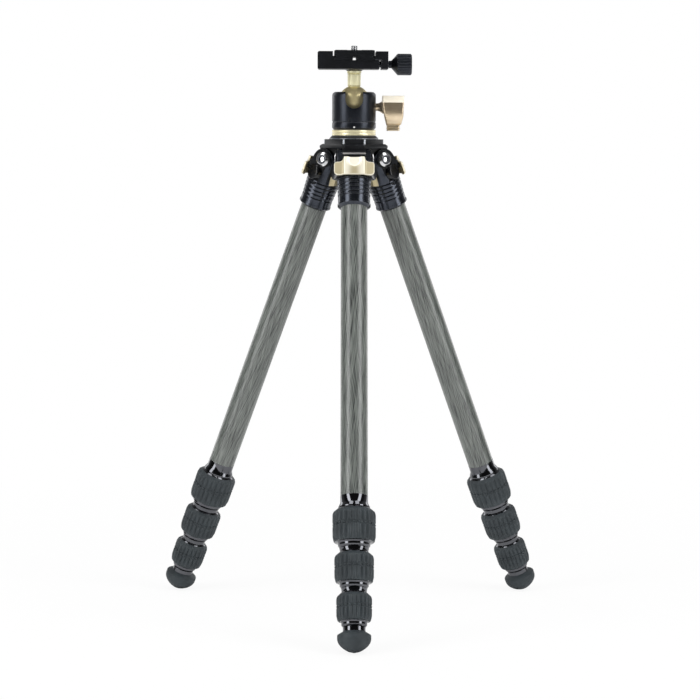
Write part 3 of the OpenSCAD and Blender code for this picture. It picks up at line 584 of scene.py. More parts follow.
def lever_levels():
    """Outlines from the crown down to the tip."""
    levels = [LEVER_CROWN, LEVER_BROW]
    for step in range(1, LEVER_STEPS + 1):
        height = LEVER_BROW[0] + (LEVER_NECK[0] - LEVER_BROW[0]) * step / LEVER_STEPS
        above, below = LEVER_HIP, LEVER_NECK
        if height > LEVER_HIP[0]:
            above, below = LEVER_BROW, LEVER_HIP
        share = (height - above[0]) / (below[0] - above[0])
        left, right = (above[side] + (below[side] - above[side]) * share for side in (1, 2))
        levels.append((height, left, right, LEVER_BROW[3] - LEVER_DRAW * (step / LEVER_STEPS) ** 4))
    left, right, half = LEVER_TIP
    height = LEVER_NECK[0]
    levels.append((height - 0.1, left, right, half))
    for _ in range(RIBS):
        for down, share in RIB_SHAPE:
            deep = RIB_DEEP * share
            levels.append((height - down * RIB_PITCH, left + deep, right - deep, half - deep))
        height -= RIB_PITCH
    levels.append((LEVER_END + 0.4, left + 0.2, right - 0.2, half - 0.1))
    levels.append((LEVER_END, left + 0.7, right - 0.7, half - 0.6))
    return levels


# The forged sides are burnished and mirror the pale table and the dark room in turn. The flat
# crown above the brow is blasted and painted nearly white, a painted highlight of the lamps above.
lever_gold = satin("burnished champagne aluminium", ("#efdcbe", "#e2cdac"), (0.29, 0.34),
                   Metallic=0.94)
lever_crown_highlight = satin("champagne crown with painted highlight", ("#fffaec", "#fff6e2"), (0.40, 0.46))
lever = lofted(lever_levels(), LEVER_CORNER)
bmesh.ops.translate(lever, verts=lever.verts, vec=(0, 0, LEVER_UP * MM))
web = turned(LEVER_WEB, 48)
web.transform(
    Matrix.Translation((0, 0, LEVER_UP * MM)) @ Matrix.Rotation(math.radians(90), 4, "Y"))
skin("main_lever", lever_gold, gold_edge, width=0.35, other=lever_crown_highlight,
     apart=lambda spot: spot.z > (LEVER_UP + LEVER_BROW[0]) * MM, build=joined(lever, web))


# Pan lock knob
# A small thumb screw of black aluminium at the back of the housing, with straight ribs round
# its rim. It clamps the panning base.
PAN_KNOB_R = 6.5  # mm
PAN_KNOB_FROM = 4.0  # mm from the housing to the near end of the ribs
PAN_KNOB_LEN = 9.0  # mm
PAN_KNOB_UP = -71.35  # mm, height of its axis
PAN_RIBS = 18
PAN_RIB = (0.9, 1.1, 7.4)  # mm, how deep, how wide and how long


def repeated(name, kind, finish, count, size, start, step=(0, 0, 0), turn=0.0):
    """Geometry Nodes row or ring of one primitive, as a plain mesh: each copy moves on by a
    step and turns on about Z by an angle. Sizes are in mm."""
    tree = bpy.data.node_groups.new(name, "GeometryNodeTree")
    sockets = {}
    for label, socket_type in (
        ("Count", "Int"), ("Size", "Vector"), ("Start", "Vector"), ("Step", "Vector"),
        ("Turn", "Float"),
    ):
        sockets[label] = tree.interface.new_socket(
            label, in_out="INPUT", socket_type="NodeSocket" + socket_type).identifier
    tree.interface.new_socket("Geometry", in_out="OUTPUT", socket_type="NodeSocketGeometry")
    given = add(tree, "NodeGroupInput").outputs
    one = add(tree, kind)
    smooth = add(tree, "GeometryNodeSetShadeSmooth", {0: one.outputs["Mesh"]})
    shaped = add(
        tree,
        "GeometryNodeTransform",
        {"Geometry": smooth.outputs[0], "Translation": given["Start"], "Scale": given["Size"]},
    )
    places = add(tree, "GeometryNodeMeshLine", {"Count": given["Count"], "Offset": given["Step"]})
    turns = add(
        tree,
        "ShaderNodeMath",
        {0: add(tree, "GeometryNodeInputIndex").outputs[0], 1: given["Turn"]},
        operation="MULTIPLY",
    )
    spin = add(tree, "ShaderNodeCombineXYZ", {"Z": turns.outputs[0]})
    copies = add(
        tree,
        "GeometryNodeInstanceOnPoints",
        {"Points": places.outputs[0], "Instance": shaped.outputs[0], "Rotation": spin.outputs[0]},
    )
    real = add(tree, "GeometryNodeRealizeInstances", {0: copies.outputs[0]})
    dressed = add(
        tree, "GeometryNodeSetMaterial", {"Geometry": real.outputs[0], "Material": finish}
    )
    add(tree, "NodeGroupOutput", {0: dressed.outputs[0]})
    maker = bpy.data.objects.new(name, bpy.data.meshes.new(name + "_points"))
    bpy.context.scene.collection.objects.link(maker)
    modifier = maker.modifiers.new(name, "NODES")
    modifier.node_group = tree
    modifier[sockets["Count"]] = count
    modifier[sockets["Turn"]] = turn
    for label, value in (("Size", size), ("Start", start), ("Step", step)):
        modifier[sockets[label]] = [v * MM for v in value]
    mesh = bpy.data.meshes.new_from_object(
        maker.evaluated_get(bpy.context.evaluated_depsgraph_get())
    )
    bpy.data.objects.remove(maker)
    return mesh


skin("pan_knob", black_satin, black_edge_highlight, width=0.6)
ribs = repeated(
    "pan_knob_ribs", "GeometryNodeMeshCylinder", black_satin, PAN_RIBS,
    [side / 2 for side in PAN_RIB],
    (PAN_KNOB_R, 0, PAN_KNOB_FROM + PAN_KNOB_LEN / 2), turn=math.tau / PAN_RIBS)
ribs.transform(
    Matrix.Translation(Vector((0, HOUSING_R, PAN_KNOB_UP)) * MM)
    @ Matrix.Rotation(math.radians(-90), 4, "X"))
piece_of("pan_knob_ribs", ribs, "pan_knob")


# Ball and stem
# Turned from one bar of aluminium, the ball ground to a close satin, and both dyed champagne.
# The stem is screwed into the underside of the clamp.
BALL_GOLD = ("#efe0ac", "#e6d6a0")
STEM_GOLD = ("#fffad2", "#faf3c4")
STEM_EDGE_SHADE = ("#d9cf9c", "#cfc48f")

# The ground ball is metal enough to darken towards the housing, where it mirrors less light.
# The film on the stem is thicker and yellower, and lights up on both sides.
ball_gold = satin("champagne ground aluminium", BALL_GOLD, (0.36, 0.42), grain=0.4, depth=0.006,
                  Metallic=0.68)
stem_gold = satin("champagne turned aluminium", STEM_GOLD, (0.36, 0.42), Metallic=0.15)
# Its broken edges are painted darker, a painted shade along the rims
stem_edge_shade = satin("champagne turned edge with painted shade", STEM_EDGE_SHADE, (0.3, 0.36), Metallic=0.4)
skin("ball", ball_gold, width=0)
skin("ball_stem", stem_gold, stem_edge_shade, width=0.2)


# Quick release clamp
# Body and moving jaw milled from black aluminium bar, with a dovetail channel between them.
# Fine cutter marks run from front to back under the blasting.
CUTTER = 0.8  # mm between marks, drawn as coarse as they need to show
CUTTER_LONG = 25  # times longer than wide
CUTTER_DEPTH = 0.02  # mm


def milled(name, colours, rough):
    """Blasted aluminium over straight cutter marks, which catch the light along one way."""
    material = satin(name, colours, rough, IOR=1.6)
    tree = material.node_tree
    spot, shine, bumps = (tree.nodes[label] for label in ("spot", "shine", "bumps"))
    drawn = add(
        tree,
        "ShaderNodeMapping",
        {"Vector": spot.outputs["Object"], "Scale": (1, 1 / CUTTER_LONG, 1)},
    )
    marks = add(
        tree, "ShaderNodeTexNoise", {"Vector": drawn.outputs[0], "Scale": 1 / (CUTTER * MM)}
    ).outputs[0]
    coarse = add(tree, "ShaderNodeBump", {"Height": marks, "Distance": CUTTER_DEPTH * MM})
    tree.links.new(marks, shine.inputs["Value"])
    tree.links.new(coarse.outputs[0], bumps.inputs["Normal"])
    return material


black_milled = milled("milled black aluminium", (BLACK, BLACK_DUSTY), (0.28, 0.36))
skin("clamp_body", black_milled, black_edge_highlight, width=0.4)
skin("clamp_jaw", black_milled, black_edge_highlight, width=0.4)


# Bubble level
# A small round vial pressed into the clamp: a dark rim round tinted liquid under a clear
# window, with a printed ring and the bubble inside it.
LEVEL_AT = (-27.725, 0, -1.0)  # mm, middle of the window, level with the top of the clamp
LEVEL_R = 4.45  # mm
WINDOW_R = 3.7  # mm
RING_R = 1.9  # mm
RING_WIDE = 0.28  # mm
BUBBLE_R = 1.25  # mm
BUBBLE_WALL = 0.22  # mm, its dark outline
WINDOW_SUNK = 0.3  # mm
VIAL_FROM = -2.9  # mm, its underside


def level_liquid():
    """Tinted spirit under a clear acrylic window: a wet shine over a bright green that darkens
    outward, with the printed ring and the bubble drawn as rings round its middle."""
    material, tree, shader = new_finish(
        "green spirit under acrylic", "#b7d04a", 0.06, Coat_Weight=1.0, IOR=1.4)
    spot = add(tree, "ShaderNodeTexCoord").outputs["Object"]
    centre = add(
        tree,
        "ShaderNodeMapping",
        {"Vector": spot, "Location": [v * MM for v in LEVEL_AT]},
        vector_type="TEXTURE",
    )
    flat = add(tree, "ShaderNodeVectorMath", {0: centre.outputs[0], 1: (1, 1, 0)},
               operation="MULTIPLY")
    far = add(
        tree, "ShaderNodeVectorMath", {0: flat.outputs[0]}, operation="LENGTH"
    ).outputs["Value"]
    tone = add(tree, "ShaderNodeMapRange", {"Value": far, "From Max": WINDOW_R * MM})
    liquid = add(
        tree,
        "ShaderNodeMix",
        {0: tone.outputs[0], 6: linear("#c9e05c"), 7: linear("#8fae2c")},
        data_type="RGBA",
    ).outputs[2]
    colour = liquid
    for radius, paint in (
        (RING_R, linear("#1c2208")), (RING_R - RING_WIDE, liquid),
        (BUBBLE_R, linear("#5f7a1c")), (BUBBLE_R - BUBBLE_WALL, linear("#f0f7c8")),
    ):
        inside = add(tree, "ShaderNodeMath", {0: far, 1: radius * MM}, operation="LESS_THAN")
        colour = add(
            tree, "ShaderNodeMix", {0: inside.outputs[0], 6: colour, 7: paint}, data_type="RGBA"
        ).outputs[2]
    tree.links.new(colour, shader.inputs["Base Color"])
    return material


vial = turned([
    (0, VIAL_FROM), (LEVEL_R, VIAL_FROM), (LEVEL_R, -0.25), (LEVEL_R - 0.2, -0.05),
    (WINDOW_R + 0.15, -0.05), (WINDOW_R, -WINDOW_SUNK), (WINDOW_R * 0.7, -0.16),
    (WINDOW_R * 0.35, -0.08), (0, -0.05)])

# Moulded black nylon, a dull dark ring round the bright liquid
vial_rim = satin("black moulded nylon", ("#101113", "#15161a"), (0.35, 0.45))
bmesh.ops.translate(vial, verts=vial.verts, vec=Vector(LEVEL_AT) * MM)
for face in vial.faces:
    out = face.calc_center_median() - Vector(LEVEL_AT) * MM
    window = out.z > -(WINDOW_SUNK + 0.05) * MM and out.xy.length < WINDOW_R * MM
    face.material_index = 1 if window else 0
vial_mesh = solid_mesh("bubble_level_made", vial, vial_rim, corner=40)
vial_mesh.materials.append(level_liquid())
vial_piece = piece_of("bubble_level_made", vial_mesh, frame["nodes"]["bubble_level"]["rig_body"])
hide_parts("bubble_level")


# Clamp knob
# Black aluminium, turned to a concave cone and cut with grooves round its rim for the fingers.
# It is pinned on the end of the screw that draws the jaw in.
skin("clamp_knob", black_satin, black_edge_highlight, width=0.3)


# Camera plate
# Milled black aluminium with a dovetail. Two strips of moulded rubber with cross ribs are
# glued on top, so that a camera doesn't turn on it.
STRIP_AT = 12.2  # mm from the middle
STRIP_HALF = 5.4  # mm
STRIP_RIBS = 22
STRIP_PITCH = 2.0  # mm
STRIP_RIB = 0.62  # mm, half the width of a rib
STRIP_PROUD = 0.28  # mm, how far a rib stands above the plate
RIB_ROUND = 0.22  # mm
RUBBER = ("#30383c", "#293034")

# Rubber from a blasted mould is matt and faintly grained, and its shine is greasy and broad
rubber = satin("moulded rubber", RUBBER, (0.52, 0.66), grain=0.35, depth=0.03, IOR=1.5)
skin("camera_plate", black_milled, black_edge_highlight, width=0.4)
for side in (-1, 1):
    strip = repeated(
        "plate_strip", "GeometryNodeMeshCube", rubber, STRIP_RIBS,
        (2 * STRIP_HALF, 2 * STRIP_RIB, 2 * STRIP_PROUD),
        (side * STRIP_AT, -STRIP_PITCH * (STRIP_RIBS - 1) / 2, 0), step=(0, STRIP_PITCH, 0))
    strip_piece = piece_of(f"plate_strip_{'left' if side < 0 else 'right'}", strip, "plate")
    soft = strip_piece.modifiers.new("rounded ribs", "BEVEL")
    soft.width = RIB_ROUND * MM
    soft.segments = 2


# Camera screw
# A quarter inch stainless screw, twenty threads to the inch, with a coin slot in its head. Its
# plain neck is held captive in the plate.
THREAD_R = 3.175  # mm
THREAD_PITCH = 1.27  # mm
THREAD_DEEP = 0.62  # mm
THREAD_CREST = 0.3  # half the width of the flat crest, in quarters of the pitch
THREAD_FROM = 0.02  # mm above the plate
THREAD_TO = 4.7  # mm
THREAD_TIP = 0.55  # mm, chamfer
THREAD_ROUNDS = 60
THREAD_STEPS = 8  # points up each pitch


def cut_thread(build):
    """A rolled thread, added to a build as one closed skin about the Z axis."""
    rows = round((THREAD_TO - THREAD_FROM) / THREAD_PITCH * THREAD_STEPS)
    rings = []
    for row in range(rows + 1):
        height = THREAD_FROM + (THREAD_TO - THREAD_FROM) * row / rows
        ring = []
        for i in range(THREAD_ROUNDS):
            phase = (height / THREAD_PITCH - i / THREAD_ROUNDS) % 1
            fall = max(0, abs(4 * phase - 2) - THREAD_CREST) / (2 - THREAD_CREST)
            radius = THREAD_R - THREAD_DEEP * fall
            radius = min(radius, THREAD_R - THREAD_TIP + (THREAD_TO - height))
            if row == 0:
                radius = THREAD_R - THREAD_DEEP
            turn = i * math.tau / THREAD_ROUNDS
            ring.append(build.verts.new(
                Vector((math.cos(turn) * radius, math.sin(turn) * radius, height)) * MM))
        rings.append(ring)
    for low, high in zip(rings, rings[1:]):
        for i in range(THREAD_ROUNDS):
            j = (i + 1) % THREAD_ROUNDS
            build.faces.new((low[i], low[j], high[j], high[i]))
    build.faces.new(rings[-1])
    build.faces.new(rings[0][::-1])


screw = merged("camera_screw")
bmesh.ops.bisect_plane(
    screw, geom=screw.verts[:] + screw.edges[:] + screw.faces[:],
    plane_co=(0, 0, THREAD_FROM * MM), plane_no=(0, 0, 1), clear_outer=True)
open_edges = [e for e in screw.edges if e.is_boundary]
bmesh.ops.holes_fill(screw, edges=open_edges)
cut_thread(screw)
skin("camera_screw", steel, width=0.15, corner=50, build=screw)


# Legs
# Each leg is drawn in its own frame: the origin at its pivot, Z up the leg, X away from the
# column. Its root is a forged fork of black aluminium with ribs, clamped on the upper tube.
LEGS = ("front", "right", "left")


def leg_frame(leg):
    """Where a leg's own frame lies, from the joints that swing it and slide its sections."""
    joints = {row["name"]: row for row in frame["joints"]}
    swing, slide = joints[leg + "_leg_swing"], joints[leg + "_section_2_slide"]
    across = -Vector(swing["axis"]).normalized()
    up = -Vector(slide["axis"]).normalized()
    turn = Matrix((across.cross(up), across, up)).transposed().to_4x4()
    return Matrix.Translation(swing["pos_m"]) @ turn


leg_frames = {leg: leg_frame(leg) for leg in LEGS}
EAR_OUT = 15.9  # mm from the middle of the leg to the flat side of an ear

# The root is polished before it is dyed, so its ribs draw narrow glints. Only the flats of the
# ears round the bolt heads are left as blasted. They stay nearly black, because the pits trap
# most of the shine, which the low IOR stands for.
root_black = satin("polished black anodised aluminium", (BLACK, BLACK_DUSTY), (0.17, 0.23),
                   IOR=1.75, Specular_Tint=linear(COOL_SHINE))
ear_black = satin("coarse blasted black ear", (BLACK, BLACK_DUSTY), (0.44, 0.52), grain=0.7,
                  depth=0.03, IOR=1.22)

for leg in LEGS:
    home = leg_frames[leg].inverted()
    skin(leg + "_leg_root", root_black, black_edge_highlight, width=0.45,
         other=ear_black, apart=lambda spot: abs((home @ spot).y) > EAR_OUT * MM)


# Pivot bolts
# Stainless steel, turned and polished. Each runs through both ears of a leg root and the tongue
# between them, and its heads have a sloping rim and a hex socket with a bright floor, whose walls
# and the flat round it are painted dark grey as shade.
BOLT_HALF = (  # mm: radius and distance from the middle of the leg, from the socket outward
    (0, 17.0), (2.9, 17.0), (2.9, 18.5), (3.05, 18.6), (4.5, 18.6), (4.75, 18.52),
    (6.75, 17.45), (6.9, 17.3), (6.9, 16.1), (4.0, 16.1))
SOCKET_R = 2.9  # mm, across the corners of the hex
SOCKET_FLOOR = 17.05  # mm from the middle of the leg
SHADE_R = 4.6  # mm, the flat round the socket
SHADE_FROM = 0.7  # share of the socket's radius where its dark wall starts
HEX_ROWS = (1, 2)  # the points of the profile that are six sided
BOLT_ROUNDS = 96
BOLT_CORNER = 20  # degrees

# The walls of a punched socket and the flat round it are painted a dark grey, a painted shade,
# and are rougher than the polished steel
steel_painted_shade = turned_steel("stainless steel with painted shade", ("#47484c", "#393a3e"), (0.34, 0.42))


def hexagon(number, turn):
    """How much less the radius is on the flats of the socket."""
    if min(number, 2 * len(BOLT_HALF) - 1 - number) not in HEX_ROWS:
        return 0
    off = ((turn * 6) % 1 - 0.5) * math.tau / 6
    return SOCKET_R * (1 - math.cos(math.tau / 12) / math.cos(off))


def in_painted_shade(spot):
    """Whether a point, in the leg's frame, lies where a socket's walls and flat take painted shade.
    """
    return (SHADE_FROM * SOCKET_R * MM < math.hypot(spot.x, spot.z) < SHADE_R * MM
            and abs(spot.y) > SOCKET_FLOOR * MM)


bolts = bmesh.new()
for leg in LEGS:
    rows = [(r, -h) for r, h in BOLT_HALF] + [(r, h) for r, h in BOLT_HALF[::-1]]
    bolt = turned(rows, BOLT_ROUNDS, hexagon)
    bolt.transform(leg_frames[leg] @ Matrix.Rotation(math.radians(-90), 4, "X"))
    joined(bolts, bolt)
homes = [leg_frames[leg].inverted() for leg in LEGS]
skin("pivot_bolts", steel, width=0, corner=BOLT_CORNER, other=steel_painted_shade,
     apart=lambda spot: any(in_painted_shade(home @ spot) for home in homes), build=bolts)


# Spring caps
# Round dished caps of gloss black plastic, pressed into both sides of a leg root over the
# springs of its latch.
CAP_AT = (5.3, 18.3, -14.5)  # mm, middle of a cap's face in the leg's frame
CAP_TURN = 27  # degrees that it faces outward from the side of the leg
CAP_R = 7.7  # mm
CAP_T = 5.5  # mm

# Glossy moulded plastic, black with small sharp lights on its rounded rim
cap_black = satin("gloss black ABS", ("#0a0b0e", "#0e0f13"), (0.16, 0.24), IOR=1.5)
for leg in LEGS:
    for side in (-1, 1):
        cap = turned([
            (0, -CAP_T), (CAP_R, -CAP_T), (CAP_R, -0.7), (CAP_R - 0.2, -0.25), (CAP_R - 0.7, 0),
            (CAP_R - 1.4, -0.1), (CAP_R * 0.5, -0.5), (0, -0.6)], 48)
        cap.transform(
            leg_frames[leg]
            @ Matrix.Translation(Vector((CAP_AT[0], side * CAP_AT[1], CAP_AT[2])) * MM)
            @ Matrix.Rotation(math.radians(-CAP_TURN * side), 4, "Z")
            @ Matrix.Rotation(math.radians(-90 * side), 4, "X"))
        name = f"{leg}_spring_cap_{'a' if side < 0 else 'b'}"
        piece_of(name, solid_mesh(name, cap, cap_black), leg + "_leg")


# Angle latches
# Pressed and blasted champagne plates with a thumb scoop. A spring pushes each nose on to the
# steps of the hub, and pulling the latch out frees the leg.
# The sizes are in mm, out from the leg's axis, across it or along it from the pivot.
PLATE_OUT = 19.2
PLATE_T = 2.2
PLATE_TOP = -3.9
PLATE_LOW = -21.7
PLATE_HALF = 19.0
BITE_AT = 14.4  # across, middle of the round bite at each top corner
BITE_R = 4.6
CORNER_TOP = 2.6
CORNER_LOW = 4.4
WING_FROM = 8.6  # across, where the plate starts to bend back
WING_TO = 12.2
WING_BEND = (1.8, 3.0)  # back at the end of the bend and at the tips
SCOOP_AT = (28.6, -7.4)  # out and along, middle of the ball that shapes the thumb scoop
SCOOP_R = 12.0
SCOOP_FLOOR = 17.5
RIM_R = 0.8  # round of the edges
RIM_ROWS = (0, 0.08, 0.25, 0.5, RIM_R)  # in from the edge, close enough to draw the round
PLATE_ROWS = 28
COLUMNS = (  # across, close together at the bend and the bite
    0, 0.6, 1.2, 1.8, 2.4, 3, 3.5, 4, 4.5, 5, 5.4, 5.8, 6.2, 6.6, 7, 7.5, 8, 8.6, 9.3, 9.8,
    9.83, 9.9, 10.0, 10.2, 10.45, 10.8, 11.2, 11.7, 12.3, 13, 13.7, 14.4, 15, 15.7, 16.4, 17,
    17.6, 18.1, 18.5, 18.8, 18.95, 19)
NOSE = ((3.8, -7, -13.6), (16.9, 7, -10.6))  # corners of the nose in the leg's frame
NOSE_ROUND = 0.35
# Painted light on the latch: the tan is painted shade and the pale is a painted highlight, and the
# numbers below place them on the plate; the middle field is painted pale
LATCH_SHADE_TAN = "#b3a681"
LATCH_HIGHLIGHT = "#fffae8"
LIT_HALF = 9.4  # across, the coined field in the middle
LIT_SIDE = 7.6  # across, where the field is as pale as its sides
LIT_LOW = -8.6  # along, where it is palest beside the scoop
LIT_SCOOP_R = 6.1  # the pale round of the scoop
WING_LIT = 0.1  # shares of the pale tone: of the wings and the middle line
SIDE_LIT = 0.75  # added to it at the sides of the field
TOP_LIT = 0.9  # beside the scoop
RIM_LIT = 0.75  # along the rims


def drop(far, radius):
    """How far a round of a radius has fallen, this far from its crest."""
    return radius - math.sqrt(max(radius * radius - far * far, 0))


def plate_ends(across):
    """Top and low edge of the latch this far across."""
    far = abs(across)
    top = PLATE_TOP
    if far > BITE_AT - BITE_R:
        top -= math.sqrt(max(BITE_R**2 - max(BITE_AT - far, 0) ** 2, 0))
    if far > PLATE_HALF - CORNER_TOP:
        top -= drop(far - PLATE_HALF + CORNER_TOP, CORNER_TOP)
    low = PLATE_LOW
    if far > PLATE_HALF - CORNER_LOW:
        low += drop(far - PLATE_HALF + CORNER_LOW, CORNER_LOW)
    return top, low


def eased_step(value, start, end):
    """0 before the start, 1 past the end, smooth between them."""
    share = min(max((value - start) / (end - start), 0), 1)
    return share * share * (3 - 2 * share)


def painted_light_share(far, along, rim):
    """How much painted highlight the plate takes this far across and along, and this far from its
    rim; the rest is painted shade.
    """
    field = SIDE_LIT * eased_step(far, 1.0, LIT_SIDE) + WING_LIT
    field = max(field, TOP_LIT * eased_step(along, LIT_LOW - 1.2, LIT_LOW + 0.4))
    share = WING_LIT + (field - WING_LIT) * eased_step(far, LIT_HALF + 0.9, LIT_HALF)
    scoop = eased_step(math.hypot(far, along - SCOOP_AT[1]), LIT_SCOOP_R + 0.3, LIT_SCOOP_R - 0.3)
    return max(share, scoop, RIM_LIT * eased_step(rim, 1.0, 0.4))


def latch_plate():
    """The pressed plate with its scoop and bent wings, and the nose behind it."""
    columns = [-across for across in COLUMNS[:0:-1]] + list(COLUMNS)
    build = bmesh.new()
    pale = build.verts.layers.float.new("pale")
    fronts, backs = [], []
    for across in columns:
        top, low = plate_ends(across)
        far = abs(across)
        bend = WING_BEND[0] * eased_step(far, WING_FROM, WING_TO)
        bend += (WING_BEND[1] - WING_BEND[0]) * max(far - WING_TO, 0) / (PLATE_HALF - WING_TO)
        span = (top - low - 2 * RIM_R) / PLATE_ROWS
        downs = [*RIM_ROWS, *(RIM_R + span * i for i in range(1, PLATE_ROWS)),
                 *(top - low - row for row in reversed(RIM_ROWS))]
        front, back = [], []
        for down in downs:
            along = top - down
            out = PLATE_OUT - bend
            reach = SCOOP_R**2 - across**2 - (along - SCOOP_AT[1]) ** 2
            if reach > 0:
                out = min(out, max(SCOOP_AT[0] - math.sqrt(reach), SCOOP_FLOOR))
            rim = min(down, top - low - down, PLATE_HALF - far)
            out -= drop(max(RIM_R - rim, 0), RIM_R)
            front.append(build.verts.new(Vector((out, across, along)) * MM))
            front[-1][pale] = painted_light_share(far, along, rim)
            back.append(build.verts.new(
                Vector((PLATE_OUT - bend - PLATE_T, across, along)) * MM))
        fronts.append(front)
        backs.append(back)
    for grid in (fronts, backs):
        for one, two in zip(grid, grid[1:]):
            for i in range(len(one) - 1):
                build.faces.new((one[i], two[i], two[i + 1], one[i + 1]))
    for one, two, other, another in zip(fronts, fronts[1:], backs, backs[1:]):
        build.faces.new((one[0], two[0], another[0], other[0]))
        build.faces.new((one[-1], two[-1], another[-1], other[-1]))
    for front, back in ((fronts[0], backs[0]), (fronts[-1], backs[-1])):
        for i in range(len(front) - 1):
            build.faces.new((front[i], front[i + 1], back[i + 1], back[i]))
    bmesh.ops.recalc_face_normals(build, faces=build.faces)
    low, high = (Vector(corner) * MM for corner in NOSE)
    size = high - low
    nose = bmesh.new()
    bmesh.ops.create_cube(
        nose, matrix=Matrix.Translation((low + high) / 2) @ Matrix.Diagonal((*size, 1)))
    bmesh.ops.bevel(nose, geom=nose.edges[:], offset=NOSE_ROUND * MM, segments=2, affect="EDGES")
    return joined(build, nose)


# Blasted champagne film over a pressed plate, with painted light: a pale painted highlight in the
# scoop, on the sides of the middle field and along the rims, and a tan painted shade on the wings
# and the middle line.
latch_gold_painted = satin("champagne pressed aluminium with painted light", (LATCH_SHADE_TAN, LATCH_HIGHLIGHT), (0.34, 0.42),
                   Metallic=0.25)
latch_nodes = latch_gold_painted.node_tree
# The vertex layer pale carries the share of painted highlight against painted shade
pale = add(latch_nodes, "ShaderNodeAttribute", attribute_name="pale")
latch_nodes.links.new(pale.outputs["Fac"], latch_nodes.nodes["tones"].inputs[0])

for leg in LEGS:
    plate = latch_plate()
    plate.transform(leg_frames[leg])
    skin(leg + "_angle_latch", latch_gold_painted, width=0, corner=50, build=plate)


# Carbon tubes
# Wound from carbon cloth and sanded under a thin clear resin. The bundles of fibre run along
# the tube at a small angle both ways and show as fine grey streaks.
FIBRE = 0.75  # mm, width of a bundle
FIBRE_LONG = 34  # times longer than wide
FIBRE_ANGLE = 7  # degrees from the axis of the tube
TUBE_R = 12.5  # mm
TUBE_STARTS = (20, 24, 28, 32)  # mm down the leg
BUSH_LEN = 12  # mm
BUSH_CLEAR = 0.1  # mm, keeps the end of the bushing whole
FIBRE_SPAN = (0.74, 1.26)  # where most sums of the two windings lie
FIBRE_DARK = "#2e3130"
FIBRE_LIGHT = "#7b807b"
RESIN_ROUGH = (0.24, 0.36)
RESIN_DEPTH = 0.015  # mm


def carbon_fibre(leg):
    """Two crossed windings of grey streaks, in the frame of a leg, under a satin resin that
    softens the glints."""
    material, tree, shader = new_finish(
        f"carbon fibre of the {leg} leg", FIBRE_DARK, RESIN_ROUGH[0], IOR=1.7)
    place, turn, _ = leg_frames[leg].decompose()
    spot = add(
        tree,
        "ShaderNodeMapping",
        {"Vector": add(tree, "ShaderNodeTexCoord").outputs["Object"],
         "Location": place, "Rotation": turn.to_euler()},
        vector_type="TEXTURE",
    ).outputs[0]
    height = add(tree, "ShaderNodeSeparateXYZ", {0: spot}).outputs["Z"]
    windings = []
    for way in (-1, 1):
        rate = way * math.tan(math.radians(FIBRE_ANGLE)) / (TUBE_R * MM)
        angle = add(tree, "ShaderNodeMath", {0: height, 1: rate}, operation="MULTIPLY")
        wound = add(
            tree,
            "ShaderNodeVectorRotate",
            {"Vector": spot, "Angle": angle.outputs[0]},
            rotation_type="Z_AXIS",
        )
        drawn = add(
            tree,
            "ShaderNodeVectorMath",
            {0: wound.outputs[0], 1: (1, 1, 1 / FIBRE_LONG)},
            operation="MULTIPLY",
        )
        windings.append(add(
            tree,
            "ShaderNodeTexNoise",
            {"Vector": drawn.outputs[0], "Scale": 1 / (FIBRE * MM), "Detail": 3.0},
        ).outputs[0])
    both = add(
        tree, "ShaderNodeMath", {0: windings[0], 1: windings[1]}, operation="ADD"
    ).outputs[0]
    streaks = add(
        tree,
        "ShaderNodeMapRange",
        {"Value": both, "From Min": FIBRE_SPAN[0], "From Max": FIBRE_SPAN[1]},
    )
    tones = add(
        tree,
        "ShaderNodeMix",
        {0: streaks.outputs[0], 6: linear(FIBRE_DARK), 7: linear(FIBRE_LIGHT)},
        data_type="RGBA",
    )
    shine = add(
        tree,
        "ShaderNodeMapRange",
        {"Value": windings[0], **NOISE_SPAN, "To Min": RESIN_ROUGH[0], "To Max": RESIN_ROUGH[1]},
    )
    bumps = add(tree, "ShaderNodeBump", {"Height": both, "Distance": RESIN_DEPTH * MM})
    tree.links.new(tones.outputs[2], shader.inputs["Base Color"])
    tree.links.new(shine.outputs[0], shader.inputs["Roughness"])
    tree.links.new(bumps.outputs[0], shader.inputs["Normal"])
    return material


carbon = {leg: carbon_fibre(leg) for leg in LEGS}

# The bushings are moulded acetal, waxy and dull beside the resin
bush_black = satin("black moulded acetal", ("#17181a", "#1d1e21"), (0.4, 0.5))
for leg in LEGS:
    home = leg_frames[leg].inverted()
    for number, start in enumerate(TUBE_STARTS, 1):
        end = -(start + BUSH_LEN + BUSH_CLEAR) * MM
        skin(f"{leg}_tube_{number}", carbon[leg], width=0, other=bush_black,
             apart=(lambda spot: (home @ spot).z > end) if number > 1 else None)


# Collars
# Sleeves of aluminium, polished and black chromed, and glued on the tubes. Each ends in the
# flare that the grip turns against.
GLOSS = ("#67686c", "#5d5e62")

# Dark chrome mirrors the room nearly black, with hard white lights where it sees a soft box
gloss_black = satin("black chromed aluminium", GLOSS, (0.06, 0.11), grain=0.6, depth=0.004,
                    Metallic=1.0)
for leg in LEGS:
    for number in (1, 2, 3):
        skin(f"{leg}_collar_{number}", gloss_black, width=0.15)


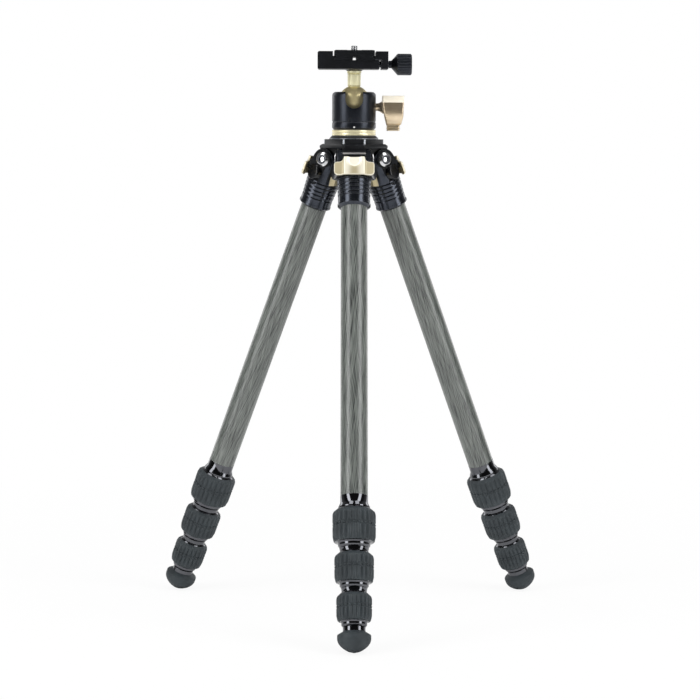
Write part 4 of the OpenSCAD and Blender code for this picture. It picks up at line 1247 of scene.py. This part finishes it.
# Twist lock grips
# A gloss black nut in a moulded rubber sleeve with two rows of flutes, and a ring of small
# lens shaped pads in the groove between them.
GRIPS = (  # mm: start and end down the leg, radius of the tube and of the sleeve
    (339.2, 370.4, 12.5, 19.7), (379.6, 407.4, 11.0, 17.9), (416.6, 442.7, 9.5, 16.1))
SHOULDER = 4.0  # mm, length of the slope at the top
LIP = 0.34  # share of the slope that is bare nut
GROOVE = 1.2  # mm
FOOT_DRAW = 1.1  # mm, how far the sleeve draws in towards its bottom
GRIP_ROUND = 0.28  # mm, how far each corner is drawn round
ROUND_MOST = 0.45  # share of an edge that a round may take
FLUTES = 24
FLUTE_DEEP = 1.25  # mm
FLUTE_STEPS = 8  # points round each flute
NUT_CLEAR = 0.15  # mm below the sleeve where the bare nut starts
PAD = (1.45, 2.1, 1.5)  # mm, how deep, how wide and how high


def eased(points, cut):
    """Points [radius, height, share] with every corner drawn round."""
    made = []
    for before, here, after in zip(points[-1:] + points[:-1], points, points[1:] + points[:1]):
        here = Vector(here)
        ends = []
        for other in (Vector(before), Vector(after)):
            away = other - here
            ends.append(here + away * min(cut / away.length, ROUND_MOST))
        for t in (0, 0.25, 0.5, 0.75, 1):
            made.append(ends[0] * (1 - t) ** 2 + here * 2 * t * (1 - t) + ends[1] * t * t)
    return made


def grip_sleeve(start, end, tube, sleeve):
    """The nut and its sleeve as one ring about Z, its top at the start, with two rows of
    shallow flutes that fade out at their ends."""
    mid = (start + end) / 2
    nut, bore, lip = tube + 1.3, tube - 1.2, tube + 2.2

    def slope(share):
        """Radius of the slope at its top, this share of the way down."""
        return tube + 2 + (sleeve - tube - 2.5) * share

    outline = eased([
        (nut, start, 0), (tube + 2, start, 0),
        (slope(LIP), start + SHOULDER * LIP, 0), (sleeve - 0.5, start + SHOULDER, 0.5),
        (sleeve, start + SHOULDER + 2.2, 1), (sleeve, mid - 2.0, 1),
        (sleeve - GROOVE, mid - 0.6, 0), (sleeve - GROOVE, mid + 0.6, 0), (sleeve, mid + 2.0, 1),
        (sleeve - 0.15, end - 4.6, 1), (sleeve - FOOT_DRAW, end - 0.5, 0.3),
        (sleeve - FOOT_DRAW - 0.5, end, 0), (lip + 0.8, end + 0.3, 0), (lip, end + 1.6, 0),
        (lip, end + 3.6, 0), (lip - 1.4, end + 5.3, 0), (bore, end + 5.3, 0), (bore, end - 7, 0),
        (nut, end - 7, 0)], GRIP_ROUND)
    shares = [point[2] for point in outline]

    def flute(number, turn):
        """How deep the flutes are at a point of the outline and a turn from 0 to 1."""
        return FLUTE_DEEP * shares[number] * (0.5 - 0.5 * math.cos(turn * FLUTES * math.tau)) ** 2

    return turned(
        [(radius, -height) for radius, height, _ in outline], FLUTES * FLUTE_STEPS, flute,
        ring=True)


for leg in LEGS:
    home = leg_frames[leg].inverted()
    for number, (start, end, tube, sleeve) in enumerate(GRIPS, 1):
        name = f"{leg}_grip_{number}"
        grip = grip_sleeve(start, end, tube, sleeve)
        grip.transform(leg_frames[leg])
        above, below = -(start + SHOULDER * LIP) * MM, -(end + NUT_CLEAR) * MM
        skin(name, rubber, width=0, corner=40, other=gloss_black,
             apart=lambda spot: not below < (home @ spot).z < above, build=grip)
        pads = repeated(
            name + "_pads", "GeometryNodeMeshIcoSphere", rubber, FLUTES, PAD,
            (sleeve - GROOVE, 0, -(start + end) / 2), turn=math.tau / FLUTES)
        pads.transform(leg_frames[leg])
        piece_of(name + "_pads", pads, name)


# Feet
# A gloss black ferrule glued on the lowest tube, with a blunt domed foot of moulded rubber
# pushed over its spigot.
for leg in LEGS:
    skin(leg + "_ferrule", gloss_black, width=0.15)
    skin(leg + "_foot", rubber, width=0.4, corner=20)
